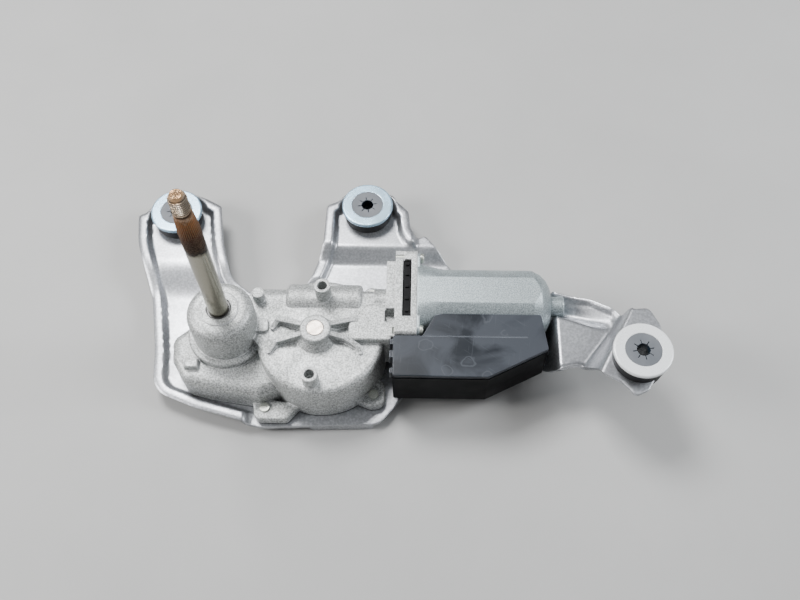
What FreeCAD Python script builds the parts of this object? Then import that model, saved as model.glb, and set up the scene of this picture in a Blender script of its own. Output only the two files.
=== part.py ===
import FreeCAD, Part
import math
import os

# Rear wiper motor with its three-point bracket.
# Drawn with z = 0 on the top face of the bracket's main plate and the output shaft along Z,
# then moved down so the written origin is on the shaft axis at the top face of its boss.
# +X runs along the motor towards its rear bearing.

SHEET = 2.0              # bracket sheet thickness
RIM_RISE = 4.0           # pressed rim above the arm floors
RIM_WIDTH = 6.0
ARM_LIFT = 6.0           # seats of the two rear arms above the main plate
LIP_DROP = 6.0           # lips and screw heads stand this far below the plate
SEAT_HIGH = 40.0         # seat on the long right arm
GROMMETS = [(-38.3, 78.2, ARM_LIFT), (67.7, 83.5, ARM_LIFT), (201.8, -20.9, SEAT_HIGH)]
SEAT_HOLE_R = 9.0
SEAT_FLAT_R = 14.2       # flat ground round each hole, clear of the rubber
COLLAR_R = 14.0
COLLAR_TOP = 9.0         # washer face above the sheet
STUD_HOLE_R = 3.25       # clears an M6 stud

GASKET = 0.8
SHAFT_R = 5.0
SHAFT_LOW, SHAFT_TIP = 1.2, 138.5
SHAFT_TAPER, SHAFT_THREAD = 114.0, 126.0
THREAD_R, THREAD_ROOT_R, THREAD_PITCH, THREAD_TURNS = 4.0, 3.35, 1.25, 8
BOSS_R, BOSS_TOP = 16.5, 45.0
BUSH_R = 8.0
CIRCLIP_IN, CIRCLIP_OUT = 4.5, 5.8
SEAL_R = 6.1
RUN = 0.05               # radial clearance of every running fit

MOTOR_Y, MOTOR_Z = 17.4, 19.5
WHEEL_X, WHEEL_Y = 46.2, -4.6
CENTRE_DISTANCE = MOTOR_Y - WHEEL_Y
WHEEL_LOW, WHEEL_TOP = 15.5, 23.5
WHEEL_TEETH, WHEEL_MODULE = 35, 1.0
WORM_PITCH_R = CENTRE_DISTANCE - WHEEL_TEETH * WHEEL_MODULE / 2
WORM_ROOT_R, WORM_CREST_R = 3.4, 5.4
WORM_LEAD = math.pi * WHEEL_MODULE
WORM_TURNS = 6
CHAMBER_X, CHAMBER_Y, CHAMBER_R = 48.3, -4.5, 32.0
DECK = 27.0              # top of the gear chamber
LOBE_TOP = 18.0
RIB_HALF = 1.2           # half the thickness of the ribs round the pivot boss
WALL = 3.0
CRANK_R = 9.0

GEAR_MODULE = 1.25
PRESSURE_ANGLE = math.radians(25)
BACKLASH = 0.22
PINION_TEETH, SECTOR_TEETH = 12, 20
PINION_R = GEAR_MODULE * PINION_TEETH / 2
SECTOR_R = GEAR_MODULE * SECTOR_TEETH / 2
ARM_ANGLE = -96.0        # direction from the output shaft to the sector pivot
PIVOT_X = (PINION_R + SECTOR_R) * math.cos(math.radians(ARM_ANGLE))
PIVOT_Y = (PINION_R + SECTOR_R) * math.sin(math.radians(ARM_ANGLE))

CAN_R, CAN_FLAT = 18.5, 17.0
CAN_WALL = 1.8
FLANGE_X0, FLANGE_X1 = 85.0, 96.0
CAN_X0, CAN_ROUND, CAN_DOME, CAN_END, NOSE_END = 96.0, 109.0, 154.4, 163.4, 170.8
NOSE_R = 5.25

TERMINAL_HEIGHTS = (14.0, 25.0)
LID_TOP, LID_LOW = 34.0, 31.6
CASE_LOW = 7.0
CASE_WALL = 2.0
SOCKET = (100.0, 124.0, -25.5, -13.0)
SOCKET_ROOF = 18.6
HEADER_WALL = 1.6
PIN_X, PIN_Y = (104.0, 108.0, 112.0, 116.0, 120.0), -19.25
BOARD_LOW, BOARD_TOP = 21.0, 22.6
HOUSING_SCREWS = [(20.4, -35.0), (74.7, -27.0), (-26.2, -0.6), (3.0, 25.0), (72.0, 31.0)]
YOKE_SCREWS = [(y, z) for y in (MOTOR_Y - 20.8, MOTOR_Y + 20.8) for z in (MOTOR_Z - 12.0, MOTOR_Z + 12.0)]

X_AXIS = FreeCAD.Vector(1, 0, 0)
Z_AXIS = FreeCAD.Vector(0, 0, 1)


def vec(x, y, z):
    return FreeCAD.Vector(x, y, z)


def block(x0, x1, y0, y1, z0, z1):
    return Part.makeBox(x1 - x0, y1 - y0, z1 - z0, vec(x0, y0, z0))


def post(x, y, radius, z0, z1):
    return Part.makeCylinder(radius, z1 - z0, vec(x, y, z0), Z_AXIS)


def motor_rod(radius, x0, x1):
    return Part.makeCylinder(radius, x1 - x0, vec(x0, MOTOR_Y, MOTOR_Z), X_AXIS)


def ring(x, y, inner, outer, z0, z1):
    return post(x, y, outer, z0, z1).cut(post(x, y, inner, z0, z1))


def fuse(shapes):
    joined = shapes[0].fuse(shapes[1:])
    return joined.removeSplitter()


def rounded_wire(corners, z):
    """Closed outline: straight runs joined by an arc at every corner that has a radius."""
    count = len(corners)
    ends = []
    for i in range(count):
        x, y, radius = corners[i]
        here = vec(x, y, z)
        back = (vec(corners[i - 1][0], corners[i - 1][1], z) - here).normalize()
        ahead = (vec(corners[(i + 1) % count][0], corners[(i + 1) % count][1], z) - here).normalize()
        if radius == 0:
            ends.append((here, None, here))
            continue
        half = back.getAngle(ahead) / 2
        reach = radius / math.tan(half)
        centre = here + (back + ahead).normalize() * (radius / math.sin(half))
        middle = centre + (here - centre).normalize() * radius
        ends.append((here + back * reach, middle, here + ahead * reach))
    edges = []
    for i in range(count):
        start, middle, stop = ends[i]
        if middle is not None:
            edges.append(Part.Arc(start, middle, stop).toShape())
        following = ends[(i + 1) % count][0]
        if stop.distanceToPoint(following) > 1e-6:
            edges.append(Part.makeLine(stop, following))
    return Part.Wire(edges)


def prism(corners, z0, z1):
    return Part.Face(rounded_wire(corners, z0)).extrude(vec(0, 0, z1 - z0))


def round_top(shape, z, radius, keep=None):
    """Round the edges that lie in the plane z, or those of them that pass keep."""
    edges = []
    for edge in shape.Edges:
        box = edge.BoundBox
        flat = abs(box.ZMin - z) < 1e-4 and abs(box.ZMax - z) < 1e-4
        if flat and (keep is None or keep(box)):
            edges.append(edge)
    return shape.makeFillet(radius, edges)


# ---------------------------------------------------------------- bracket

# corners of the outline in order, each with the radius that rounds it
LEFT_ARM = [(-51.5, 87.8, 8), (-56.4, 80.2, 1.5), (-60.6, 78.0, 2.5), (-58.0, 60.0, 40), (-46.5, 28.0, 60),
            (-40.6, -3.0, 30), (-38.4, -25.5, 14), (-16.4, -34.4, 20)]
FRONT_EDGE = [(8.8, -41.2, 6), (19.0, -43.3, 8), (42.0, -42.2, 1), (78.0, -40.6, 10), (89.0, -26.0, 8),
              (98.0, -10.0, 8), (155.0, -10.0, 0)]
REAR_EDGE = [(155.0, 34.0, 0), (128.0, 34.0, 6), (99.9, 69.2, 2), (95.0, 66.0, 3), (91.8, 72.0, 6),
             (90.6, 83.0, 5), (83.5, 90.0, 2), (79.5, 94.5, 6), (68.0, 98.5, 14), (57.0, 95.0, 6),
             (50.4, 89.2, 2), (44.6, 86.5, 3), (44.2, 62.0, 25), (38.0, 42.0, 18), (29.0, 33.0, 8),
             (8.0, 31.0, 10), (-5.0, 40.0, 14), (-11.0, 62.0, 40), (-14.8, 85.0, 3), (-23.0, 89.6, 2),
             (-27.5, 91.6, 4), (-39.0, 93.6, 12)]


def bracket_outline(z):
    return rounded_wire(LEFT_ARM + FRONT_EDGE + REAR_EDGE, z)


def arm_profile(x0, x1, ramp_start, ramp_end, lift, thick):
    """Side view of a rear arm: level, up a ramp, level again, drawn across the arm's full width."""
    near, far = -60.0, 110.0
    top = [(near, 0.0), (ramp_start, 0.0), (ramp_end, ARM_LIFT), (far, ARM_LIFT)]
    under = [(y, z - thick) for y, z in reversed(top)]
    points = [vec(x0, y, z + lift) for y, z in top + under]
    return Part.Face(Part.makePolygon(points + points[:1])).extrude(vec(x1 - x0, 0, 0))


def floors(lift, thick):
    left = arm_profile(-70.0, 18.0, 34.0, 50.0, lift, thick)
    middle = arm_profile(18.0, 160.0, 55.0, 60.5, lift, thick)
    return left, middle


def slab(wire):
    return Part.Face(wire).extrude(vec(0, 0, 60)).translate(vec(0, 0, -20))


def right_arm_rows():
    """Rows across the long right arm: far rim, trough that clears the motor's nose, near edge."""
    return [
        [(150, 34, 0), (150, 31, 0), (150, 25, 0), (150, 22, 0), (150, 17.4, 0), (150, 13, 0), (150, 6, 0),
         (150, -10, 0)],
        [(161, 30.5, 0.4), (161, 28, 0), (161, 25, 0), (161, 22, 0), (161, 17.4, 0), (161, 13, 0),
         (161.5, 9, 0), (161, -8.5, 0)],
        [(168, 26.2, 19.6), (168, 25.4, 17.2), (168, 24.0, 16.6), (167.6, 21.8, 13.0), (167.4, 17.4, 11),
         (167.6, 12.6, 14), (168, 10, 22), (166, -19.2, 22)],
        [(176, 23.4, 20.2), (176, 22.6, 17.8), (176, 20.9, 17.4), (175.6, 19.0, 15.4), (175.4, 15, 14.0),
         (175.6, 10.8, 17.2), (176, 8.2, 22.2), (172, -17.4, 22)],
        [(185, 20.6, 22.4), (185, 19.8, 20), (185, 18, 19.6), (184.6, 15.4, 17.8), (184.4, 11.4, 17.2),
         (184.4, 7.8, 19.4), (184.6, 5.6, 23), (177.6, -15.4, 22)],
        [(196, 13.4, 25.4), (196, 12.6, 23.2), (195.6, 11.4, 22.8), (195, 10, 22), (194.6, 8, 21.8),
         (194.4, 6.2, 22.8), (194.2, 4.4, 25), (180.4, -15.6, 22.6)],
        [(200, 6, 39.6), (199, 5, 39.6), (198, 4, 39.6), (196.4, 2, 39.4), (194.8, 0, 39.2),
         (193.0, -2.4, 39.2), (191.2, -5, 39.4), (183.4, -28.2, 39.6)],
        [(204, 2, 40), (203, 1, 40), (202, 0, 40), (200.8, -1.6, 40), (199.6, -3.2, 40), (198.2, -5.6, 40),
         (196.6, -8.4, 40), (187, -30, 40)],
    ]


def thick_sheet(rows, thick):
    """Sheet of triangles through rows of points, with its underside offset along the surface normal."""
    last_row, last_col = len(rows) - 1, len(rows[0]) - 1
    top = [[vec(*point) for point in row] for row in rows]
    under = []
    for i in range(last_row + 1):
        line = []
        for j in range(last_col + 1):
            along = top[min(i + 1, last_row)][j] - top[max(i - 1, 0)][j]
            across = top[i][min(j + 1, last_col)] - top[i][max(j - 1, 0)]
            normal = across.cross(along).normalize()
            line.append(top[i][j] - normal * thick)
        under.append(line)
    triangles = []
    for i in range(last_row):
        for j in range(last_col):
            a, b, c, d = (i, j), (i, j + 1), (i + 1, j + 1), (i + 1, j)
            for p, q, r in ((a, b, c), (a, c, d)):
                triangles.append([top[p[0]][p[1]], top[q[0]][q[1]], top[r[0]][r[1]]])
                triangles.append([under[r[0]][r[1]], under[q[0]][q[1]], under[p[0]][p[1]]])
    border = [(0, j) for j in range(last_col + 1)]
    border += [(i, last_col) for i in range(1, last_row + 1)]
    border += [(last_row, j) for j in range(last_col - 1, -1, -1)]
    border += [(i, 0) for i in range(last_row - 1, 0, -1)]
    for k in range(len(border)):
        a, b = border[k], border[(k + 1) % len(border)]
        triangles.append([top[b[0]][b[1]], top[a[0]][a[1]], under[a[0]][a[1]]])
        triangles.append([top[b[0]][b[1]], under[a[0]][a[1]], under[b[0]][b[1]]])
    faces = [Part.Face(Part.makePolygon(t + t[:1])) for t in triangles]
    solid = Part.Solid(Part.Shell(faces))
    solid.fixTolerance(1e-4)
    if solid.Volume < 0:
        solid.reverse()
    return solid


def mounting_bracket():
    outline = bracket_outline(0)
    whole = slab(outline)
    flats = [post(x, y, SEAT_FLAT_R, -20, 40) for x, y, z in GROMMETS[:2]]
    wider = [post(x, y, SEAT_FLAT_R + SHEET, -20, 40) for x, y, z in GROMMETS[:2]]
    inside = slab(outline.makeOffset2D(-RIM_WIDTH)).fuse(flats).common(whole)
    step = slab(outline.makeOffset2D(-(RIM_WIDTH - SHEET))).fuse(wider).common(whole)
    low = floors(0, SHEET)
    high = floors(RIM_RISE, SHEET)
    tall = floors(RIM_RISE, SHEET + RIM_RISE)
    rim_zone = fuse([block(-70, 12, -60, 110, -20, 60), block(30, 94.5, 36, 110, -20, 60)])
    plain_zone = block(-80, 160, -70, 120, -20, 60).cut(rim_zone)
    pieces = []
    for i in range(2):
        pieces.append(low[i].common(inside))
        pieces.append(low[i].common(whole).common(plain_zone))
        pieces.append(high[i].common(whole.cut(step)).common(rim_zone))
        pieces.append(tall[i].common(step.cut(inside)).common(rim_zone))
    pieces.append(thick_sheet(right_arm_rows(), SHEET))
    seat = [(186.0, -29.4, 0), (192.0, -33.0, 6), (198.4, -40.2, 2), (204.6, -37.2, 2), (208.0, -31.6, 3),
            (214.0, -25.5, 6), (214.6, -10.0, 8), (213.2, -2.2, 3), (209.0, 6.2, 3), (199.5, 3.0, 0),
            (195.2, -8.0, 0)]
    pieces.append(prism(seat, SEAT_HIGH - SHEET, SEAT_HIGH))
    front_lip = prism([(42.4, -42.1, 0), (75.0, -40.7, 0), (75.0, -38.7, 0), (42.4, -40.1, 0)], -LIP_DROP, -1)
    box_lip = block(104, 150, -10, -8, -LIP_DROP, -1)
    rear_lip = prism([(101.8, 66.9, 0), (122.4, 41.1, 0), (120.8, 39.8, 0), (100.2, 65.6, 0)], -LIP_DROP, 4)
    pieces += [front_lip, box_lip, rear_lip]
    bracket = fuse(pieces)
    holes = [post(x, y, SEAT_HOLE_R, z - 10, z + 10) for x, y, z in GROMMETS]
    holes += [post(x, y, 2.7, -10, 10) for x, y in HOUSING_SCREWS]
    return bracket.cut(holes)


# ---------------------------------------------------------------- grommets

def rubber_grommet(x, y, seat):
    lower = ring(x, y, 6.0, 12.5, seat - SHEET - 3.5, seat - SHEET - 0.05)
    waist = ring(x, y, 6.0, SEAT_HOLE_R, seat - SHEET - 0.1, seat + 0.1)
    upper = ring(x, y, 6.0, 13.0, seat + 0.05, seat + COLLAR_TOP - 1.9)
    body = fuse([lower, waist, upper])
    return round_top(body, seat + COLLAR_TOP - 1.9, 1.0, lambda box: box.XLength > 20)


def flanged_collar(x, y, seat):
    top = seat + COLLAR_TOP
    flange = post(x, y, COLLAR_R, top - 1.8, top)
    flange = round_top(flange, top, 0.8)
    sleeve = post(x, y, 6.0, seat - SHEET - 3.5, top - 1.0)
    collar = fuse([flange, sleeve])
    return collar.cut([post(x, y, STUD_HOLE_R, seat - 20, top + 1), post(x, y, 8.7, top - 0.8, top + 1)])


def star_retainer(x, y, seat):
    top = seat + COLLAR_TOP
    disc = ring(x, y, STUD_HOLE_R, 8.6, top - 0.8, top - 0.1)
    slits = []
    for i in range(8):
        slit = block(x + 3.0, x + 5.2, y - 0.25, y + 0.25, top - 1, top)
        slits.append(slit.rotate(vec(x, y, 0), Z_AXIS, 45.0 * i + 10))
    return disc.cut(slits)


# ---------------------------------------------------------------- gear housing

def output_boss():
    ledge = round_top(post(0, 0, 19.6, GASKET, 22), 22, 1.5)
    tower = round_top(post(0, 0, BOSS_R, 10, BOSS_TOP - 0.5), BOSS_TOP - 0.5, 5.0)
    collar = post(0, 0, 9.4, 40, BOSS_TOP)
    return fuse([ledge, tower, collar])


def lobe():
    outline = [(-17.0, 8.0, 0), (-28.2, -2.0, 5), (-27.2, -14.0, 8), (-20.0, -25.8, 9), (-8.0, -29.0, 14),
               (18.5, -33.0, 3), (30.0, -28.0, 0), (30.0, 4.0, 0)]
    body = prism(outline, GASKET, LOBE_TOP)
    return round_top(body, LOBE_TOP, 5.0, lambda box: box.YMax < 8 and box.XMax < 19)


def worm_tube():
    wide = motor_rod(10.0, 29.5, 68.0)
    wide = wide.makeFillet(2.0, [e for e in wide.Edges if e.BoundBox.XLength < 0.01])
    foot = block(31.5, 66.0, MOTOR_Y - 10, MOTOR_Y + 10, GASKET, MOTOR_Z)
    narrow = motor_rod(7.2, 11.0, 30.0)
    narrow_foot = block(11.0, 30.0, MOTOR_Y - 7.2, MOTOR_Y + 7.2, GASKET, MOTOR_Z)
    neck = motor_rod(6.9, 60.0, 74.0)
    collar = motor_rod(8.2, 74.0, FLANGE_X0 + 1)
    neck_foot = block(60.0, FLANGE_X0 + 1, MOTOR_Y - 6.9, MOTOR_Y + 6.9, GASKET, MOTOR_Z)
    stub = post(15.8, 15.8, 3.0, 24, 33.5)
    standoff = post(48.6, MOTOR_Y, 4.0, 26, 38.5)
    return [wide, foot, narrow, narrow_foot, neck, collar, neck_foot, stub, standoff]


def stiffening_rib(points):
    """Rib of straight runs on the deck; each point gives its x, y and crest height."""
    runs = []
    for (x0, y0, z0), (x1, y1, z1) in zip(points, points[1:]):
        side = vec(y0 - y1, x1 - x0, 0).normalize() * RIB_HALF
        low = DECK - 1
        outline = [vec(x0, y0, low), vec(x0, y0, z0), vec(x1, y1, z1), vec(x1, y1, low)]
        face = Part.Face(Part.makePolygon(outline + outline[:1])).translate(side * -1)
        runs.append(face.extrude(side * 2))
        runs.append(post(x1, y1, RIB_HALF, low, z1 - 0.1))
    return runs


def chamber():
    drum = round_top(post(CHAMBER_X, CHAMBER_Y, CHAMBER_R, GASKET, DECK), DECK, 3.0)
    deck = prism([(9, 18, 0), (9, 0, 0), (19, -12, 0), (74, -12, 0), (80, 2, 0), (86, 8, 0), (86, 20, 0)],
                 GASKET, DECK)
    boss = round_top(post(WHEEL_X, WHEEL_Y, 7.6, DECK - 1, 35), 35, 0.8)
    foot = Part.makeCone(10.5, 7.4, 3.6, vec(WHEEL_X, WHEEL_Y, DECK - 0.1), Z_AXIS)
    paths = [[(44.5, -2.6, 34), (27.1, 2.7, 30.4), (24.2, -1.2, 28.6)],
             [(44.5, -5.2, 34), (26.5, -9.6, 30.4), (23.4, -14.4, 28.6)],
             [(48.0, -2.6, 34), (63.7, 2.4, 31.6), (68.2, 3.2, 30.8)],
             [(48.0, -5.2, 34), (60.7, -7.5, 31.6), (67.2, -11.3, 29.6), (68.4, -14.0, 28.4)]]
    ribs = []
    for path in paths:
        ribs += stiffening_rib(path)
    standoff = post(45.0, -29.5, 4.0, DECK - 1, 35)
    raised = prism([(13, 3.7, 0), (21.8, 3.7, 2), (22.2, -3.8, 2), (13, -3.8, 0)], DECK - 1, 29)
    raised = round_top(raised, 29, 0.5)
    return [drum, deck, boss, foot, standoff, raised] + ribs


def motor_face():
    pad = prism([(62.2, -8.6, 1), (62.2, 0.0, 3), (71.0, 11.4, 3), (85.5, 11.4, 0), (85.5, -6.8, 0),
                 (83.4, -6.8, 0), (83.4, -8.6, 1)], 6, 31)
    pad = round_top(pad, 31, 0.8)
    step = block(80.4, FLANGE_X0 + 1, 7.0, 35.6, 5.5, 33)
    frame = block(FLANGE_X0, FLANGE_X1, -6.8, 41.8, 4.5, 34.5)
    frame = frame.makeFillet(2.0, [e for e in frame.Edges if e.BoundBox.XLength > 5])
    shoulder = block(FLANGE_X0 - 1, FLANGE_X0 + 4.4, 30.0, 43.0, 33.4, 36)
    return fuse([pad, step, frame]).cut([shoulder, block(80.0, 84.8, 1.6, 8.0, 27, 35)])


def ears():
    front = [(13.5, -29, 0), (15.8, -41.2, 4), (31.6, -41.2, 3), (38.5, -33, 0)]
    right = [(62.0, -29, 0), (73.2, -33.2, 3), (80.6, -32.5, 5), (80.4, -21, 5), (74, -15, 0)]
    pads = [prism(front, GASKET, 6), prism(right, GASKET, 6)]
    pads += [post(x, y, 4.6, GASKET, 6) for x, y in HOUSING_SCREWS[2:]]
    pads.append(block(-3, 9, 12, 25, GASKET, 6))
    pads.append(block(67, 77, 20, 31, GASKET, 6))
    pads.append(block(-19.4, -12.6, -20.4, -15.6, 14, 21.5))
    return [round_top(pad, pad.BoundBox.ZMax, 0.8) for pad in pads]


def housing_hollow():
    gear_room = post(CHAMBER_X, CHAMBER_Y, CHAMBER_R - WALL, -5, DECK - WALL)
    link_room = prism([(-14.5, 8, 4), (-24.8, -3.0, 4), (-24.0, -13.4, 6), (-18.2, -23.0, 7),
                       (-7.6, -25.9, 11), (18.0, -29.8, 2), (34.0, -24.0, 0), (34.0, 4.0, 0),
                       (12.0, 11.0, 5), (0.0, 17.0, 8)], -5, LOBE_TOP - 2.5)
    return [gear_room, link_room,
            motor_rod(6.2, 28.0, FLANGE_X1), motor_rod(5.2, 12.0, 29.0), motor_rod(6.4, 76.0, 82.0),
            post(0, 0, BUSH_R, 10, 40), post(0, 0, SEAL_R, 39, BOSS_TOP + 5),
            post(WHEEL_X, WHEEL_Y, 4.35, DECK - 5, 36),
            motor_rod(13.4, 87.0, FLANGE_X1 + 1), block(88.7, 93.0, 3.0, 36.0, MOTOR_Z + 5, 40),
            block(89.4, FLANGE_X1 + 1, MOTOR_Y - 17.6, MOTOR_Y + 17.6, MOTOR_Z - 4.2, MOTOR_Z + 4.2),
            post(48.6, MOTOR_Y, 2.5, 30.5, 40), post(45.0, -29.5, 2.5, 28.0, 40),
            block(89.8, 92.2, -8, 5, 11.0, 28.0)]


def gear_housing():
    solids = [output_boss(), lobe(), motor_face()] + worm_tube() + chamber() + ears()
    body = fuse(solids)
    holes = [post(x, y, 2.5, -5, 12) for x, y in HOUSING_SCREWS]
    holes += [Part.makeCylinder(2.0, 13.0, vec(84.0, y, z), X_AXIS) for y, z in YOKE_SCREWS]
    return body.cut(housing_hollow() + holes)


def housing_gasket(housing):
    foot = housing.common(block(-80, 100, -60, 60, GASKET, 2 * GASKET))
    return foot.translate(vec(0, 0, -GASKET))


def housing_screws():
    screws = []
    for x, y in HOUSING_SCREWS:
        flange = post(x, y, 5.2, -3.2, -SHEET)
        points = []
        for i in range(7):
            turn = math.radians(60 * i)
            points.append(vec(x + 4.6 * math.cos(turn), y + 4.6 * math.sin(turn), -LIP_DROP))
        head = Part.Face(Part.makePolygon(points)).extrude(vec(0, 0, 3.0))
        screws.append(fuse([flange, head, post(x, y, 2.5, -4, 7)]))
    return Part.makeCompound(screws)


# ---------------------------------------------------------------- output shaft train

def thread_ridge(root, crest, foot, land, pitch, turns):
    """Helical ridge on the Z axis: foot wide at its base, land wide at its crest."""
    helix = Part.makeHelix(pitch, pitch * turns, root)
    sunk = root - 0.3
    points = [vec(sunk, 0, -foot / 2), vec(crest, 0, -land / 2), vec(crest, 0, land / 2),
              vec(sunk, 0, foot / 2)]
    section = Part.makePolygon(points + points[:1])
    return Part.Wire(helix).makePipeShell([section], True, True)


def output_shaft():
    profile = [vec(0, 0, SHAFT_LOW), vec(4.4, 0, SHAFT_LOW), vec(SHAFT_R, 0, SHAFT_LOW + 0.6),
               vec(SHAFT_R, 0, BOSS_TOP - 0.8), vec(CIRCLIP_IN, 0, BOSS_TOP - 0.8),
               vec(CIRCLIP_IN, 0, BOSS_TOP), vec(SHAFT_R, 0, BOSS_TOP), vec(SHAFT_R, 0, SHAFT_TAPER),
               vec(4.2, 0, 125.0), vec(3.5, 0, 125.6), vec(THREAD_ROOT_R, 0, SHAFT_THREAD), vec(THREAD_ROOT_R, 0, 137.2), vec(2.6, 0, SHAFT_TIP),
               vec(0, 0, SHAFT_TIP)]
    core = Part.Face(Part.makePolygon(profile + profile[:1])).revolve(vec(0, 0, 0), Z_AXIS, 360)
    ridge = thread_ridge(THREAD_ROOT_R, THREAD_R, 1.15, 0.15, THREAD_PITCH, THREAD_TURNS)
    ridge.translate(vec(0, 0, SHAFT_THREAD + 0.6))
    return core.fuse(ridge)


def involute_point(base, radius, mirror, turn):
    """Point of an involute of the given base circle, at the given radius, turned about the gear's centre."""
    roll = math.sqrt(max((radius / base) ** 2 - 1, 0))
    angle = (roll - math.atan(roll)) * mirror + turn
    return vec(radius * math.cos(angle), radius * math.sin(angle), 0)


def tooth(teeth, addendum, dedendum, direction):
    """Outline of one involute tooth pointing along direction (radians)."""
    pitch_r = GEAR_MODULE * teeth / 2
    base = pitch_r * math.cos(PRESSURE_ANGLE)
    half = math.pi / (2 * teeth) - BACKLASH / (2 * pitch_r)
    offset = half + math.tan(PRESSURE_ANGLE) - PRESSURE_ANGLE
    tip, root = pitch_r + addendum, pitch_r - dedendum
    low = max(base, root)
    radii = [low, (low + tip) / 2, tip]
    right = [involute_point(base, r, 1, direction - offset) for r in radii]
    left = [involute_point(base, r, -1, direction + offset) for r in reversed(radii)]
    deep = root - 0.4
    start = vec(deep * math.cos(direction - offset), deep * math.sin(direction - offset), 0)
    stop = vec(deep * math.cos(direction + offset), deep * math.sin(direction + offset), 0)
    edges = [Part.makeLine(start, right[0]), Part.Arc(*right).toShape(), Part.makeLine(right[2], left[0]),
             Part.Arc(*left).toShape(), Part.makeLine(left[2], stop), Part.makeLine(stop, start)]
    return Part.Face(Part.Wire(edges))


def output_pinion():
    blank = post(0, 0, PINION_R - 1.45, 6.8, 14.3)
    facing = math.radians(ARM_ANGLE)
    teeth = []
    for i in range(PINION_TEETH):
        turn = facing + 2 * math.pi * (i + 0.5) / PINION_TEETH
        teeth.append(tooth(PINION_TEETH, 1.1, 1.45, turn).extrude(vec(0, 0, 7.5)))
    gear = fuse([blank] + [t.translate(vec(0, 0, 6.8)) for t in teeth])
    return gear.cut(post(0, 0, SHAFT_R, 0, 20))


def sector_link():
    """Toothed sector, its pivot hub and the bar to the crank eye."""
    facing = math.radians(ARM_ANGLE + 180)
    low, high = 7.0, 13.5
    spread = math.radians(45)
    hub = vec(0, 0, 0)
    rim = SECTOR_R - 1.5
    start = vec(rim * math.cos(facing - spread), rim * math.sin(facing - spread), 0)
    middle = vec(rim * math.cos(facing), rim * math.sin(facing), 0)
    stop = vec(rim * math.cos(facing + spread), rim * math.sin(facing + spread), 0)
    outline = [Part.makeLine(hub, start), Part.Arc(start, middle, stop).toShape(), Part.makeLine(stop, hub)]
    pieces = [Part.Face(Part.Wire(outline)).extrude(vec(0, 0, high - low))]
    for i in range(-2, 3):
        turn = facing + 2 * math.pi * i / SECTOR_TEETH
        pieces.append(tooth(SECTOR_TEETH, 1.0, 1.5, turn).extrude(vec(0, 0, high - low)))
    pieces = [p.translate(vec(PIVOT_X, PIVOT_Y, low)) for p in pieces]
    eye_y = WHEEL_Y - CRANK_R
    pieces.append(post(PIVOT_X, PIVOT_Y, 6.0, low, high))
    pieces.append(post(WHEEL_X, eye_y, 6.2, 10.5, high))
    run = vec(WHEEL_X - PIVOT_X, eye_y - PIVOT_Y, 0)
    bar = block(0, run.Length, -3.8, 3.8, 10.5, high)
    bar.rotate(vec(0, 0, 0), Z_AXIS, math.degrees(math.atan2(run.y, run.x)))
    pieces.append(bar.translate(vec(PIVOT_X, PIVOT_Y, 0)))
    link = fuse(pieces)
    return link.cut([post(PIVOT_X, PIVOT_Y, 3.0 + RUN, 0, 20), post(WHEEL_X, eye_y, 3.0, 0, 20)])


def holding_plate():
    low, high = 3.5, 6.2
    run = math.hypot(PIVOT_X, PIVOT_Y)
    web = block(0, run, -5.5, 5.5, low, high).rotate(vec(0, 0, 0), Z_AXIS, ARM_ANGLE)
    plate = fuse([post(0, 0, 8.5, low, high), web, post(PIVOT_X, PIVOT_Y, 5.5, low, high)])
    return plate.cut([post(0, 0, SHAFT_R + RUN, 0, 20), post(PIVOT_X, PIVOT_Y, 3.0, 0, 20)])


# ---------------------------------------------------------------- worm drive

def worm_wheel():
    """Plastic wheel with teeth leaning at the worm's lead angle."""
    pitch_r = WHEEL_TEETH * WHEEL_MODULE / 2
    root, tip = pitch_r - 1.3, pitch_r + 0.75
    lean = math.degrees((WHEEL_TOP - WHEEL_LOW) * WORM_LEAD / (2 * math.pi * WORM_PITCH_R) / pitch_r)
    blank = post(WHEEL_X, WHEEL_Y, root, WHEEL_LOW, WHEEL_TOP)
    pieces = [blank]
    for i in range(WHEEL_TEETH):
        sections = []
        for z, share in ((WHEEL_LOW, -0.5), (WHEEL_TOP, 0.5)):
            points = [vec(root - 0.3, -1.15, z), vec(root, -1.05, z), vec(tip, -0.42, z), vec(tip, 0.42, z),
                      vec(root, 1.05, z), vec(root - 0.3, 1.15, z)]
            wire = Part.makePolygon(points + points[:1])
            wire.rotate(vec(0, 0, 0), Z_AXIS, 90 + (i + 0.5) * 360.0 / WHEEL_TEETH + share * lean)
            sections.append(wire)
        pieces.append(Part.makeLoft(sections, True, True).translate(vec(WHEEL_X, WHEEL_Y, 0)))
    wheel = fuse(pieces)
    pockets = []
    for i in range(6):
        pocket = post(WHEEL_X + 11.8, WHEEL_Y, 2.6, WHEEL_TOP - 3, WHEEL_TOP + 1)
        pockets.append(pocket.rotate(vec(WHEEL_X, WHEEL_Y, 0), Z_AXIS, 60 * i + 15))
    hub = [post(WHEEL_X, WHEEL_Y, 4.0 + RUN, 0, 30), post(WHEEL_X, WHEEL_Y, 7.4, 0, 18.4)]
    return wheel.cut(pockets + hub)


def wheel_pin():
    head = post(WHEEL_X, WHEEL_Y, 4.35, DECK, 35.2)
    stem = post(WHEEL_X, WHEEL_Y, 4.0, 15.8, DECK)
    neck = ring(WHEEL_X, WHEEL_Y, 3.4, 5.0, 16.3, 17.3)
    return round_top(fuse([head, stem]).cut(neck), 35.2, 0.4)


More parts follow.
